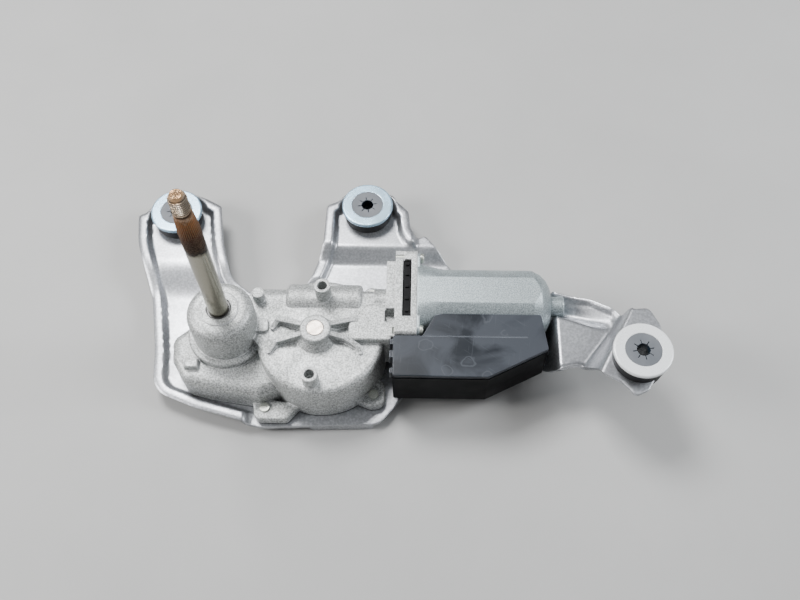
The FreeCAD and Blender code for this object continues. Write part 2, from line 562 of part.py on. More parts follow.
def armature_shaft():
    rods = [motor_rod(3.0, 13.4, 31.0), motor_rod(WORM_ROOT_R, 31.0, 62.0), motor_rod(4.0, 62.0, 160.0),
            motor_rod(2.5, 160.0, 168.8)]
    start = WHEEL_X - WORM_TURNS * WORM_LEAD / 2
    ridge = thread_ridge(WORM_ROOT_R, WORM_CREST_R, 1.75, 0.62, WORM_LEAD, WORM_TURNS)
    ridge.rotate(vec(0, 0, 0), Z_AXIS, -90)
    ridge.rotate(vec(0, 0, 0), vec(0, 1, 0), 90)
    ridge.translate(vec(start, MOTOR_Y, MOTOR_Z))
    return fuse(rods).fuse(ridge)


def armature_core():
    body = motor_rod(12.6, 118.0, 148.0)
    slots = []
    for i in range(10):
        slot = block(117, 149, MOTOR_Y - 0.8, MOTOR_Y + 0.8, MOTOR_Z + 11.0, MOTOR_Z + 13.0)
        room = Part.makeCylinder(1.9, 32, vec(117, MOTOR_Y, MOTOR_Z + 9.2), X_AXIS)
        both = slot.fuse(room)
        slots.append(both.rotate(vec(0, MOTOR_Y, MOTOR_Z), X_AXIS, 36.0 * i))
    return body.cut(slots + [motor_rod(4.0, 110, 155)])


def armature_winding():
    pieces = []
    for x0, x1 in ((111.0, 117.95), (148.05, 153.5)):
        coil = motor_rod(11.2, x0, x1)
        pieces.append(coil.makeFillet(1.6, [e for e in coil.Edges if e.BoundBox.XLength < 0.01]))
    for i in range(10):
        bundle = Part.makeCylinder(1.8, 31, vec(117.5, MOTOR_Y, MOTOR_Z + 9.2), X_AXIS)
        pieces.append(bundle.rotate(vec(0, MOTOR_Y, MOTOR_Z), X_AXIS, 36.0 * i))
    return fuse(pieces).cut(motor_rod(4.0, 105, 160))


def commutator():
    body = motor_rod(7.0, 88.5, 98.0).fuse(motor_rod(7.8, 98.0, 100.0))
    cuts = []
    for i in range(10):
        gap = block(88, 97.6, MOTOR_Y - 0.2, MOTOR_Y + 0.2, MOTOR_Z + 6.3, MOTOR_Z + 8)
        cuts.append(gap.rotate(vec(0, MOTOR_Y, MOTOR_Z), X_AXIS, 36.0 * i + 18))
    return body.cut(cuts + [motor_rod(4.0, 80, 110)])


def motor_tube(inner, outer, x0, x1):
    return motor_rod(outer, x0, x1).cut(motor_rod(inner, x0 - 1, x1 + 1))


def can_section(x, half_width, half_height, corner):
    """Upright outline across the motor: four straight sides and four rounded corners."""
    flat_y, flat_z = half_width - corner, half_height - corner
    edges = []
    for k, (sy, sz) in enumerate([(1, 1), (-1, 1), (-1, -1), (1, -1)]):
        centre = vec(x, MOTOR_Y + sy * flat_y, MOTOR_Z + sz * flat_z)
        side, end = centre + vec(0, sy * corner, 0), centre + vec(0, 0, sz * corner)
        middle = centre + vec(0, sy, sz).normalize() * corner
        start, stop = (side, end) if k % 2 == 0 else (end, side)
        edges.append(Part.Arc(start, middle, stop).toShape())
    ring_edges = []
    for k in range(4):
        ring_edges.append(edges[k])
        ring_edges.append(Part.makeLine(edges[k].lastVertex().Point, edges[(k + 1) % 4].firstVertex().Point))
    return Part.Wire(ring_edges)


def round_section(x, grow):
    """The can's own section, divided like can_section: arcs at the sides, level flats above and below."""
    radius, flat = CAN_R + grow, CAN_FLAT + grow
    edge = math.acos(flat / radius)
    corner, waist = math.pi / 2 - edge, math.radians(12)
    stations = [waist, corner, math.pi - corner, math.pi - waist, math.pi + waist, math.pi + corner,
                2 * math.pi - corner, 2 * math.pi - waist]

    def place(angle):
        return vec(x, MOTOR_Y + radius * math.cos(angle), MOTOR_Z + radius * math.sin(angle))

    edges = []
    for k in range(8):
        a, b = stations[k], stations[(k + 1) % 8] + (2 * math.pi if k == 7 else 0)
        if k in (1, 5):
            edges.append(Part.makeLine(place(a), place(b)))
        else:
            edges.append(Part.Arc(place(a), place((a + b) / 2), place(b)).toShape())
    return Part.Wire(edges)


def can_shoulder(x0, grow):
    """Transition from the wide rounded mouth of the can to its round body."""
    wide = can_section(x0, 21.0 + grow, CAN_FLAT + grow, 14.0 + grow)
    return Part.makeLoft([wide, round_section(CAN_ROUND, grow)], True, True)


def can_body(shrink):
    """Drawn can with two level flats and a stepped nose; a shrink gives its inside."""
    radius = CAN_R - shrink
    outer = [(CAN_ROUND - 0.01, 0), (CAN_ROUND - 0.01, radius), (CAN_DOME, radius),
             (158.6 - shrink * 0.4, 16.4 - shrink), (161.6 - shrink * 0.7, 13.4 - shrink),
             (CAN_END - shrink, 10.0 - shrink), (CAN_END - shrink, NOSE_R - shrink * 0.8),
             (NOSE_END - shrink, NOSE_R - shrink * 0.8), (NOSE_END - shrink, 0)]
    points = [vec(x, MOTOR_Y + r, MOTOR_Z) for x, r in outer]
    drum = Part.Face(Part.makePolygon(points + points[:1])).revolve(vec(0, MOTOR_Y, MOTOR_Z), X_AXIS, 360)
    half = CAN_FLAT - shrink
    drum = drum.common(block(CAN_ROUND - 1, NOSE_END, -10, 50, MOTOR_Z - half, MOTOR_Z + half))
    return drum.fuse(can_shoulder(CAN_X0, -shrink))


def motor_yoke():
    plate = block(CAN_X0, CAN_X0 + 1.4, -6.6, 41.6, 4.6, 34.4)
    plate = plate.makeFillet(4.0, [e for e in plate.Edges if e.BoundBox.XLength > 1])
    holes = [Part.makeCylinder(2.2, 5, vec(94, y, z), X_AXIS) for y, z in YOKE_SCREWS]
    body = can_body(0).fuse(plate).cut(can_body(CAN_WALL))
    return body.removeSplitter().cut(holes)


def yoke_screws():
    screws = []
    for y, z in YOKE_SCREWS:
        head = Part.makeCylinder(2.5, 1.9, vec(CAN_X0 + 1.4, y, z), X_AXIS)
        rim = [e for e in head.Edges if e.BoundBox.XMin > CAN_X0 + 3.2]
        head = head.makeFillet(0.7, rim)
        shank = Part.makeCylinder(2.0, 12.6, vec(84.8, y, z), X_AXIS)
        screws.append(fuse([head, shank]))
    return Part.makeCompound(screws)


def field_magnets():
    arcs = []
    for y0, y1 in ((MOTOR_Y - 20, MOTOR_Y - 7.5), (MOTOR_Y + 7.5, MOTOR_Y + 20)):
        tube = motor_tube(13.4, CAN_R - CAN_WALL, 116.5, 150.0)
        arcs.append(tube.common(block(110, 155, y0, y1, MOTOR_Z - 13, MOTOR_Z + 13)))
    return Part.makeCompound(arcs)


def brush_holder():
    disc = motor_tube(8.6, 13.0, 87.2, 95.8)
    bar = block(89.0, 92.7, 3.3, 35.7, MOTOR_Z + 6, 33.0).cut(motor_rod(10.0, 80, 100))
    cage = block(89.6, 95.8, MOTOR_Y - 17.3, MOTOR_Y + 17.3, MOTOR_Z - 3.9, MOTOR_Z + 3.9)
    cage = cage.cut(motor_rod(10.0, 80, 100))
    ribs = [block(90.0, 91.7, y, y + 1.4, 32.8, 33.8) for y in (6.0, 13.0, 20.0, 27.0, 33.0)]
    body = fuse([disc, bar, cage] + ribs)
    channels = [block(90.0, 95.0, MOTOR_Y - 16.6, MOTOR_Y + 16.6, MOTOR_Z - 2.5, MOTOR_Z + 2.5)]
    channels += [block(90.3, 91.7, -3, 5, z - 2.1, z + 2.1) for z in TERMINAL_HEIGHTS]
    return body.cut(channels)


def carbon_brushes():
    """Two brushes with their inner ends ground to the commutator's radius."""
    pair = []
    for y in (MOTOR_Y + 7.1, MOTOR_Y - 12.1):
        brush = block(90.3, 94.7, y, y + 5.0, MOTOR_Z - 2.2, MOTOR_Z + 2.2)
        pair.append(brush.cut(motor_rod(7.05, 85, 100)))
    return Part.makeCompound(pair)


def brush_springs():
    """A folded leaf spring behind each brush."""
    springs = []
    for sign in (1, -1):
        path = [(90.6 if k % 2 else 94.2, 12.3 + k) for k in range(5)]
        outline = path + [(x + 0.35, y) for x, y in reversed(path)]
        points = [vec(x, MOTOR_Y + sign * y, MOTOR_Z - 1.6) for x, y in outline]
        springs.append(Part.Face(Part.makePolygon(points + points[:1])).extrude(vec(0, 0, 3.2)))
    return Part.makeCompound(springs)


def motor_terminals():
    """Two blades from the brush plate through the block's near side into the controller."""
    blades = [block(90.6, 91.4, -11, 3.2, z - 1.8, z + 1.8) for z in TERMINAL_HEIGHTS]
    return Part.makeCompound(blades)


# ---------------------------------------------------------------- controller

CASE_OUTLINE = [(84.6, -29.2, 1.2), (130.6, -29.2, 1.0), (160.2, -13.9, 1.0), (157.4, 5.0, 1.0),
                (105.3, 5.0, 1.0), (98.9, -7.4, 0.6), (84.6, -7.4, 1.0)]


def motor_clearance():
    return fuse([can_shoulder(CAN_X0 + 1.4, 0.5), motor_rod(CAN_R + 0.4, CAN_ROUND - 0.01, 166.0)])


def header_block():
    x0, x1, y0, y1 = SOCKET
    return block(x0 - HEADER_WALL, x1 + HEADER_WALL, y0 - HEADER_WALL, y1 + HEADER_WALL,
                 CASE_LOW, SOCKET_ROOF + HEADER_WALL)


def controller_case():
    """Tub with a hole in its floor for the connector header."""
    tub = prism(CASE_OUTLINE, CASE_LOW, LID_LOW - 1.0)
    rim = Part.Face(rounded_wire(CASE_OUTLINE, LID_LOW - 1.2).makeOffset2D(0.4)).extrude(vec(0, 0, 1.1))
    body = fuse([tub, rim]).cut(motor_clearance())
    hollow = prism([(86.6, -27.2, 1), (130.2, -27.2, 1), (147.6, -18.0, 1), (147.6, -4.4, 1),
                    (118.0, -4.4, 1), (114.0, -8.4, 1), (99.0, -9.4, 1), (86.6, -9.4, 1)],
                   CASE_LOW + CASE_WALL, 40)
    slots = [block(90.3, 91.7, -10, -6, z - 2.1, z + 2.1) for z in TERMINAL_HEIGHTS]
    feet = [post(x, -6.6, 2.6, 0, CASE_LOW + 1) for x in (106.0, 150.0)]
    return fuse([body.cut([hollow] + slots)] + feet).cut(header_block())


def connector_header():
    """Socket for the harness plug, open at the bottom, with a hole in its roof for every pin."""
    x0, x1, y0, y1 = SOCKET
    holes = [block(x - 0.4, x + 0.4, PIN_Y - 0.4, PIN_Y + 0.4, 18, 25) for x in PIN_X]
    return header_block().cut([block(x0, x1, y0, y1, 0, SOCKET_ROOF)] + holes)


def controller_lid():
    plate = prism(CASE_OUTLINE, LID_LOW, LID_TOP)
    plate = round_top(plate, LID_TOP, 0.5)
    lip = prism([(87.4, -26.4, 1), (129.8, -26.4, 1), (146.8, -17.6, 1), (146.8, -5.4, 1), (118.2, -5.4, 1),
                 (114.2, -9.2, 1), (87.4, -10.2, 1)], LID_LOW - 1.5, LID_LOW + 0.5)
    tabs = [block(83.0, 85.0, -11.8, -9.2, 27.0, 33.0), block(83.0, 85.0, -18.9, -15.4, 26.0, 33.0),
            block(83.2, 85.0, -27.0, -24.4, 27.0, 32.4)]
    crease = block(99.0, 150.0, -7.9, -7.5, LID_TOP - 0.15, LID_TOP + 1)
    hooks = fuse(tabs).cut(block(84.15, 86.0, -40, 10, 20, LID_LOW))
    return fuse([plate, lip, hooks]).cut([motor_clearance(), crease])


def circuit_board():
    board = prism([(87.4, -26.6, 1), (129.8, -26.6, 1), (145.6, -18.0, 1), (145.6, -5.2, 1), (118.6, -5.2, 1),
                   (114.6, -9.2, 1), (99.0, -11.4, 0), (87.4, -11.4, 1)], BOARD_LOW, BOARD_TOP)
    return board.cut([block(x - 0.4, x + 0.4, PIN_Y - 0.4, PIN_Y + 0.4, 18, 25) for x in PIN_X])


def board_parts():
    """Relay and capacitor hang under the board; choke and driver chips sit on it."""
    relay = block(128.4, 141.0, -20.4, -10.4, 9.4, BOARD_LOW - 0.02)
    relay = relay.makeFillet(0.6, [e for e in relay.Edges if e.BoundBox.ZLength > 5])
    capacitor = post(92.6, -20.0, 4.4, 9.4, BOARD_LOW - 0.02)
    choke = ring(94.0, -19.5, 2.2, 5.2, BOARD_TOP + 0.02, 29.0)
    chip = block(116.0, 126.0, -17.8, -12.6, BOARD_TOP + 0.02, 25.0)
    driver = block(131.0, 138.0, -15.0, -8.6, BOARD_TOP + 0.02, 24.6)
    return relay, capacitor, choke, Part.makeCompound([chip, driver])


def connector_pins():
    half = 0.32
    pins = [block(x - half, x + half, PIN_Y - half, PIN_Y + half, CASE_LOW + 3, BOARD_TOP + 1) for x in PIN_X]
    return Part.makeCompound(pins)


# ---------------------------------------------------------------- build

def build():
    housing = gear_housing()
    relay, capacitor, choke, chips = board_parts()
    nodes = {
        "mounting_bracket": mounting_bracket(),
        "gear_housing": housing,
        "housing_gasket": housing_gasket(housing),
        "housing_screws": housing_screws(),
        "wheel_pin": wheel_pin(),
        "wheel_thrust_washer": ring(WHEEL_X, WHEEL_Y, 4.0 + RUN, 7.0, 17.45, 18.25),
        "wheel_retaining_ring": ring(WHEEL_X, WHEEL_Y, 3.4, 6.2, 16.35, 17.25).cut(
            block(WHEEL_X, WHEEL_X + 8, WHEEL_Y - 1, WHEEL_Y + 1, 16, 18)),
        "shaft_bush_lower": ring(0, 0, SHAFT_R + RUN, BUSH_R, 16, 27),
        "shaft_bush_upper": ring(0, 0, SHAFT_R + RUN, BUSH_R, 30, 39.5),
        "shaft_seal": ring(0, 0, SHAFT_R + RUN, SEAL_R, 40.4, 43.4),
        "shaft_circlip": ring(0, 0, CIRCLIP_IN, CIRCLIP_OUT, BOSS_TOP - 0.75, BOSS_TOP - 0.05).cut(
            block(-1.4, 1.4, 0, 8, BOSS_TOP - 2, BOSS_TOP + 1)),
        "shaft_thrust_washer": ring(0, 0, SHAFT_R + RUN, 9.5, 14.6, 15.4),
        "output_shaft": output_shaft(),
        "output_pinion": output_pinion(),
        "holding_plate": holding_plate(),
        "sector_pivot_pin": post(PIVOT_X, PIVOT_Y, 3.0, 3.5, 14.2),
        "sector_link": sector_link(),
        "crank_pin": post(WHEEL_X, WHEEL_Y - CRANK_R, 3.0, 9.6, 15.1),
        "worm_wheel": worm_wheel(),
        "armature_shaft": armature_shaft(),
        "armature_core": armature_core(),
        "armature_winding": armature_winding(),
        "commutator": commutator(),
        "end_bush": motor_tube(3.0 + RUN, 5.2, 16.0, 24.0),
        "thrust_pad": motor_rod(3.6, 12.0, 13.3),
        "front_bearing": motor_tube(4.0 + RUN, 6.4, 76.0, 82.0),
        "rear_bearing": motor_tube(2.5 + RUN, NOSE_R - 0.8 * CAN_WALL, 164.0, 168.6),
        "motor_yoke": motor_yoke(),
        "yoke_screws": yoke_screws(),
        "field_magnets": field_magnets(),
        "brush_holder": brush_holder(),
        "carbon_brushes": carbon_brushes(),
        "brush_springs": brush_springs(),
        "motor_terminals": motor_terminals(),
        "controller_case": controller_case(),
        "connector_header": connector_header(),
        "controller_lid": controller_lid(),
        "circuit_board": circuit_board(),
        "relay": relay,
        "capacitor": capacitor,
        "choke": choke,
        "driver_chips": chips,
        "connector_pins": connector_pins(),
    }
    for name, (x, y, seat) in zip(("left", "centre", "right"), GROMMETS):
        nodes["rubber_grommet_" + name] = rubber_grommet(x, y, seat)
        nodes["flanged_collar_" + name] = flanged_collar(x, y, seat)
        nodes["star_retainer_" + name] = star_retainer(x, y, seat)
    return nodes


os.makedirs("parts", exist_ok=True)
for name, shape in build().items():
    state = "ok" if shape.isValid() else "INVALID"
    print(name, state, len(shape.Solids), round(shape.Volume, 1))
    shape.translate(vec(0, 0, -BOSS_TOP))
    shape.exportStep(os.path.join("parts", name + ".step"))
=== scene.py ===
import math

import bpy
import numpy as np
from mathutils import Matrix, Vector


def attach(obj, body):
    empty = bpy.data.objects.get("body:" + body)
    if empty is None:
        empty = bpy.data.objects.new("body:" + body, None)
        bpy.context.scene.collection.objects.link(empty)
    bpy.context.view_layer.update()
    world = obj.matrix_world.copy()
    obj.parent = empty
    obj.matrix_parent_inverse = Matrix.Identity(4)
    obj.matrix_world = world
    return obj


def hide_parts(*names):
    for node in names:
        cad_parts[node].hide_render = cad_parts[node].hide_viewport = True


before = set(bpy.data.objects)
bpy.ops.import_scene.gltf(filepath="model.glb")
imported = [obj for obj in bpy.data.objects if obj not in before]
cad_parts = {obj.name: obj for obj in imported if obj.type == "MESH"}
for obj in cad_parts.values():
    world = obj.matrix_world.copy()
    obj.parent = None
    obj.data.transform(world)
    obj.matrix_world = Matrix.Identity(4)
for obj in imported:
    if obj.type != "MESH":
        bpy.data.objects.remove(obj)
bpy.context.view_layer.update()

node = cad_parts

# ---------------------------------------------------------------- bracket
# The carrier: one 2 mm sheet, pressed so that the rear arms have a raised bead along their edges and a
# ramp up to their rubber mounts, and the long arm climbs to its mount with a trough along it. Three edges
# are folded down into lips. Sizes are in millimetres. The zinc plating is satin, with light scratches.

MM = 0.001
PLATE = -45.0                               # height of the main plate's top face
SHEET, SHEET_BEVEL = 2.0, 0.45
CELL = 0.9                                  # spacing of the grid that the sheet is cut from
GRID_X, GRID_Y = (-62, 216.5), (-44, 99.5)
EDGE_STEP, ARC_STEPS = 0.8, 12
SEATS = np.array([(-38.3, 78.2), (67.7, 83.5), (201.8, -20.9)])
SEAT_HOLE_R = 9
SEAT_RISE, HIGH_SEAT = 6, 40                # height over the plate: both rear seats, and the right one
BEAD_RISE, BEAD_FLAT, BEAD_FOOT = 3.9, 4.6, 7.0
BEAD_STOP = 13.6                            # the bead ends this far from a seat's centre
EDGE_ROLL, ROLL_DROP = 1.6, 0.5
ARMS_PART_X = 20                            # between the left arm and the centre one
LONG_ARM_X = 158
WALL_X, WALL_RUN, FACET = 161.0, 6.2, 22.2
# Along the long arm, by x: where its trough runs in y, how high the trough is and how high the side
# beyond it is.
TROUGH_Y = [160, 168, 175.4, 184.6, 195, 206], [17.4, 17.4, 15.0, 11.4, 8.2, 4.6]
TROUGH_Z = [161, 167.4, 175.4, 184.4, 194.6, 200], [10.2, 11.2, 13.9, 17.2, 21.6, 27]
FAR_SIDE_Z = [161, 168, 176, 185, 195.6, 200], [16.4, 16.8, 17.4, 19.8, 22.8, 27]
FAR_REACH, NEAR_REACH = 6.4, 7.8
# Each fold line is a point on it and its unit normal, which points towards the seat.
LOWER_FOLD, UPPER_FOLD = ((179.4, -14.8), (0.786, -0.618)), ((200.0, 4.0), (0.897, -0.443))
LIP_TOP, LIP_BOTTOM, LIP_WALL, LIP_BEND = -0.4, -6.0, 1.9, 1.4
LIP_STEPS = 24
LIP_ENDS = {"front": ((42.6, -42.1), (75.0, -40.9)),
            "middle": ((104.0, -10.0), (150.0, -10.0)),
            "rear": ((122.4, 41.1), (101.8, 66.9))}
# Outline corners in order, each with the radius that rounds it: left arm, front edge, long arm, rear
# edge.
EDGE = [
    (-51.5, 87.8, 8), (-56.4, 80.2, 1.5), (-60.6, 78.0, 2.5), (-58.0, 60.0, 40), (-46.5, 28.0, 60),
    (-40.6, -3.0, 30), (-38.4, -25.5, 14), (-16.4, -34.4, 20), (8.8, -41.2, 6), (19.0, -43.3, 8),
    (42.0, -42.2, 1), (78.0, -40.6, 10), (89.0, -26.0, 8), (98.0, -10.0, 8), (155.0, -10.0, 4),
    (161.0, -8.6, 2), (166.0, -19.2, 1.5), (172.0, -17.4, 6), (178.0, -16.6, 4), (183.4, -28.2, 6),
    (192.0, -33.0, 6), (198.4, -40.2, 2), (204.6, -37.2, 2), (208.0, -31.6, 3), (214.0, -25.5, 6),
    (214.6, -10.0, 8), (213.2, -2.2, 3), (209.0, 6.2, 3), (201.6, 5.4, 2), (196.0, 13.4, 6),
    (185.0, 20.6, 10), (168.0, 26.2, 8), (161.0, 30.5, 3), (155.0, 34.0, 4), (128.0, 34.0, 6),
    (99.9, 69.2, 2), (95.0, 66.0, 3), (91.8, 72.0, 6), (90.6, 83.0, 5), (83.5, 90.0, 2),
    (79.5, 94.5, 6), (68.0, 98.2, 14), (57.0, 95.0, 6), (50.4, 89.2, 2), (44.6, 86.5, 3),
    (44.2, 62.0, 25), (38.0, 42.0, 18), (29.0, 33.0, 8), (8.0, 31.0, 10), (-5.0, 40.0, 14),
    (-11.0, 62.0, 40), (-14.8, 85.0, 3), (-23.0, 89.6, 2), (-27.5, 91.6, 4), (-39.0, 93.6, 12)]


def smooth(t):
    """0 below 0, 1 above 1, and 3t^2 - 2t^3 between."""
    t = np.clip(t, 0, 1)
    return t * t * (3 - 2 * t)


def closed_edge(corners, spacing):
    """Every corner turned into an arc tangent to both its sides, then the loop walked at an even
    spacing."""
    at, radius = np.array(corners)[:, :2], np.array(corners)[:, 2:]
    back, ahead = np.roll(at, 1, axis=0) - at, np.roll(at, -1, axis=0) - at
    back /= np.hypot(*back.T)[:, None]
    ahead /= np.hypot(*ahead.T)[:, None]
    half = np.arccos(np.clip((back * ahead).sum(1), -1, 1))[:, None] / 2
    reach = radius / np.tan(half)
    middle = back + ahead
    centre = at + middle / np.hypot(*middle.T)[:, None] * radius / np.sin(half)
    t = np.linspace(0, 1, ARC_STEPS)[None, :, None]
    spoke = (at + back * reach - centre)[:, None] * (1 - t) + (at + ahead * reach - centre)[:, None] * t
    spoke /= np.hypot(spoke[..., 0], spoke[..., 1])[..., None]
    loop = (centre[:, None] + spoke * radius[:, None]).reshape(-1, 2)
    loop = np.vstack([loop, loop[:1]])
    length = np.concatenate([[0], np.cumsum(np.hypot(*np.diff(loop, axis=0).T))])
    s = np.arange(0, length[-1], spacing)
    return np.column_stack([np.interp(s, length, loop[:, k]) for k in (0, 1)])


def nearest_on_loop(points, loop):
    """For each point, the nearest point of a closed loop and the distance to it, negative outside the
    loop."""
    a, b = loop, np.roll(loop, -1, axis=0)
    run = b - a
    best, inside = [], []
    for part in np.array_split(points, max(1, len(points) // 3000)):
        rel = part[:, None, :] - a[None]
        t = np.clip((rel * run).sum(2) / (run * run).sum(1), 0, 1)
        foot = a[None] + run[None] * t[..., None]
        gap = ((part[:, None, :] - foot) ** 2).sum(2)
        pick = gap.argmin(1)
        best.append(foot[np.arange(len(part)), pick])
        py = part[:, 1:2]
        spans = (a[None, :, 1] > py) != (b[None, :, 1] > py)
        rise = np.where(run[:, 1] == 0, 1e-12, run[:, 1])
        cross = a[None, :, 0] + (py - a[None, :, 1]) * (run[:, 0] / rise)[None]
        inside.append((spans & (part[:, :1] < cross)).sum(1) % 2 == 1)
    foot, inside = np.vstack(best), np.concatenate(inside)
    return foot, np.where(inside, 1, -1) * np.hypot(*(points - foot).T)


def rear_arms(x, y, d):
    """The plate and both rear arms, each with a smooth ramp up to its seat. A bead along the edge of the
    left side and of the centre arm is full height within BEAD_FLAT of the edge and gone at BEAD_FOOT."""
    left = SEAT_RISE * smooth((y - 28) / 25)
    middle = SEAT_RISE * smooth((y - 52) / 11)
    floor = np.where(x < ARMS_PART_X, left, middle)
    bead = smooth((BEAD_FOOT - d) / (BEAD_FOOT - BEAD_FLAT))
    on_centre_arm = smooth((x - 30) / 4) * smooth((y - 36) / 8) * smooth((96 - x) / 3)
    beaded = np.maximum(smooth((13 - x) / 4), on_centre_arm)
    seat_gap = np.min([np.hypot(x - sx, y - sy) for sx, sy in SEATS[:2]], axis=0)
    z = floor + BEAD_RISE * bead * beaded * smooth((seat_gap - BEAD_STOP) / 3)
    return z - ROLL_DROP * smooth((EDGE_ROLL - d) / EDGE_ROLL) * beaded


def beyond(fold, x, y, way):
    """Distance from a fold line on the seat's side (way 1) or on the plate's side (way -1), and 0 across
    it."""
    (px, py), (nx, ny) = fold
    return np.maximum(way * ((x - px) * nx + (y - py) * ny), 0)


def long_arm(x, y, d):
    """The right arm: a wall up to a facet with a rounded trough and slightly raised edges. It climbs to
    its seat by smooth(s / (s + t)), s being the distance past the lower fold line and t the distance left
    to the upper one."""
    centre = np.interp(x, *TROUGH_Y)
    bottom = np.interp(x, *TROUGH_Z)
    side = np.where(y > centre, np.interp(x, *FAR_SIDE_Z), FACET)
    reach = np.where(y > centre, FAR_REACH, NEAR_REACH)
    facet = bottom + (side - bottom) * smooth(np.abs(y - centre) / reach)
    facet += 2.5 * smooth((2.6 - d) / EDGE_ROLL) * smooth((y - centre) / 3) * smooth((199 - x) / 5)
    facet += 0.9 * smooth((2.0 - d) / EDGE_ROLL) * smooth((centre - y) / 6)
    low = facet * smooth((x - WALL_X) / WALL_RUN)
    past, ahead = beyond(LOWER_FOLD, x, y, 1), beyond(UPPER_FOLD, x, y, -1)
    return low + (HIGH_SEAT - low) * smooth(past / (past + ahead + 1e-6))


def pressed_height(x, y, d):
    """Height of the sheet over the plate; d is the distance in from the outline."""
    return np.where(x > LONG_ARM_X, long_arm(x, y, d), rear_arms(x, y, d))


def grid_faces(rows, columns):
    """The quads of a grid whose corners are numbered row by row."""
    index = np.arange(rows * columns).reshape(rows, columns)
    return np.stack([index[:-1, :-1], index[1:, :-1], index[1:, 1:], index[:-1, 1:]], -1).reshape(-1, 4)


def mesh_piece(name, verts, faces, thickness, side, bevel=0):
    """A surface given in millimetres, made into a piece with a wall. A bevel, where given, eases its
    edges."""
    mesh = bpy.data.meshes.new(name)
    mesh.from_pydata((verts * MM).tolist(), [], faces.tolist())
    mesh.polygons.foreach_set("use_smooth", np.ones(len(faces), bool))
    mesh.update()
    piece = bpy.data.objects.new(name, mesh)
    bpy.context.scene.collection.objects.link(piece)
    wall = piece.modifiers.new("wall", "SOLIDIFY")
    wall.thickness, wall.offset = thickness * MM, side
    if bevel:
        ease = piece.modifiers.new("ease", "BEVEL")
        ease.width, ease.segments = bevel * MM, 2
        ease.limit_method, ease.angle_limit = "ANGLE", math.radians(55)
    return piece


def pressed_sheet():
    """Square grid cut to the outline: cells whose centre is on the sheet stay, their border corners move
    to the nearest point of the outline or seat hole, and every corner is lifted to pressed_height."""
    edge = closed_edge(EDGE, EDGE_STEP)
    gx, gy = np.meshgrid(np.arange(*GRID_X, CELL), np.arange(*GRID_Y, CELL), indexing="ij")
    corners = np.column_stack([gx.ravel(), gy.ravel()])
    foot, d = nearest_on_loop(corners, edge)
    mid_x, mid_y = gx[:-1, :-1] + CELL / 2, gy[:-1, :-1] + CELL / 2
    inside = nearest_on_loop(np.column_stack([mid_x.ravel(), mid_y.ravel()]), edge)[1] > 0
    for sx, sy in SEATS:
        inside &= np.hypot(mid_x - sx, mid_y - sy).ravel() > SEAT_HOLE_R
    kept = grid_faces(*gx.shape)[inside]
    uses = np.bincount(kept.ravel(), minlength=gx.size)
    border = (uses > 0) & (uses < 4)
    place = corners.copy()
    for sx, sy in SEATS:
        away = place - (sx, sy)
        radius = np.hypot(*away.T)
        near = border & (radius < SEAT_HOLE_R + 1.5 * CELL)
        place[near] = (sx, sy) + away[near] / radius[near, None] * SEAT_HOLE_R
        border &= ~near
    place[border] = foot[border]
    d = np.where(border, 0, d)
    z = pressed_height(place[:, 0], place[:, 1], d)
    used = np.flatnonzero(uses)
    renumber = np.zeros(gx.size, int)
    renumber[used] = np.arange(len(used))
    verts = np.column_stack([place, z + PLATE])[used]
    return verts, renumber[kept]


def edge_lip(start, stop):
    """A strip folded down along a straight edge: s runs along it, and across it the strip turns a quarter
    circle and then drops. Close to both ends it is less deep."""
    s = np.linspace(0, 1, LIP_STEPS)[:, None]
    turn = np.linspace(0, math.pi / 2, 6)
    drop = np.linspace(0, 1, 5)[1:]
    inward = np.concatenate([LIP_BEND * (1 - np.sin(turn)), np.zeros(len(drop))])
    straight = LIP_TOP - LIP_BOTTOM - LIP_BEND
    down = np.concatenate([LIP_BEND * (1 - np.cos(turn)), LIP_BEND + drop * straight])
    along = np.array(stop, float) - np.array(start, float)
    across = np.array([-along[1], along[0]]) / np.hypot(*along)
    fade = 1 - 0.55 * smooth(1 - np.minimum(s, 1 - s) / 0.05)
    x = start[0] + along[0] * s + across[0] * inward
    y = start[1] + along[1] * s + across[1] * inward
    z = LIP_TOP - down[None] * fade
    verts = np.stack([x, y, z], -1).reshape(-1, 3) + (0, 0, PLATE)
    return verts, grid_faces(LIP_STEPS, len(down))


def add(tree, kind, **settings):
    """One shader node; keyword settings are its own properties."""
    made = tree.nodes.new(kind)
    for key, value in settings.items():
        setattr(made, key, value)
    return made


def wire(tree, source, target):
    tree.links.new(source, target)


def stretch(tree, value, low, high, top=1.0):
    """A value's range from low to high turned into 0 to top, and held at either end beyond it."""
    made = add(tree, "ShaderNodeMapRange")
    made.inputs["From Min"].default_value = low
    made.inputs["From Max"].default_value = high
    made.inputs["To Max"].default_value = top
    wire(tree, value, made.inputs["Value"])
    return made.outputs["Result"]


def maths(tree, operation, *values, clamp=False):
    """A Math node on sockets or plain numbers."""
    made = add(tree, "ShaderNodeMath", operation=operation, use_clamp=clamp)
    for value, socket in zip(values, made.inputs):
        if isinstance(value, float):
            socket.default_value = value
        else:
            wire(tree, value, socket)
    return made.outputs["Value"]


def relief(tree, height, strength, distance, normal=None):
    """A bump, laid over a normal where one is given."""
    bump = add(tree, "ShaderNodeBump")
    bump.inputs["Strength"].default_value = strength
    bump.inputs["Distance"].default_value = distance
    wire(tree, height, bump.inputs["Height"])
    if normal is not None:
        wire(tree, normal, bump.inputs["Normal"])
    return bump.outputs["Normal"]


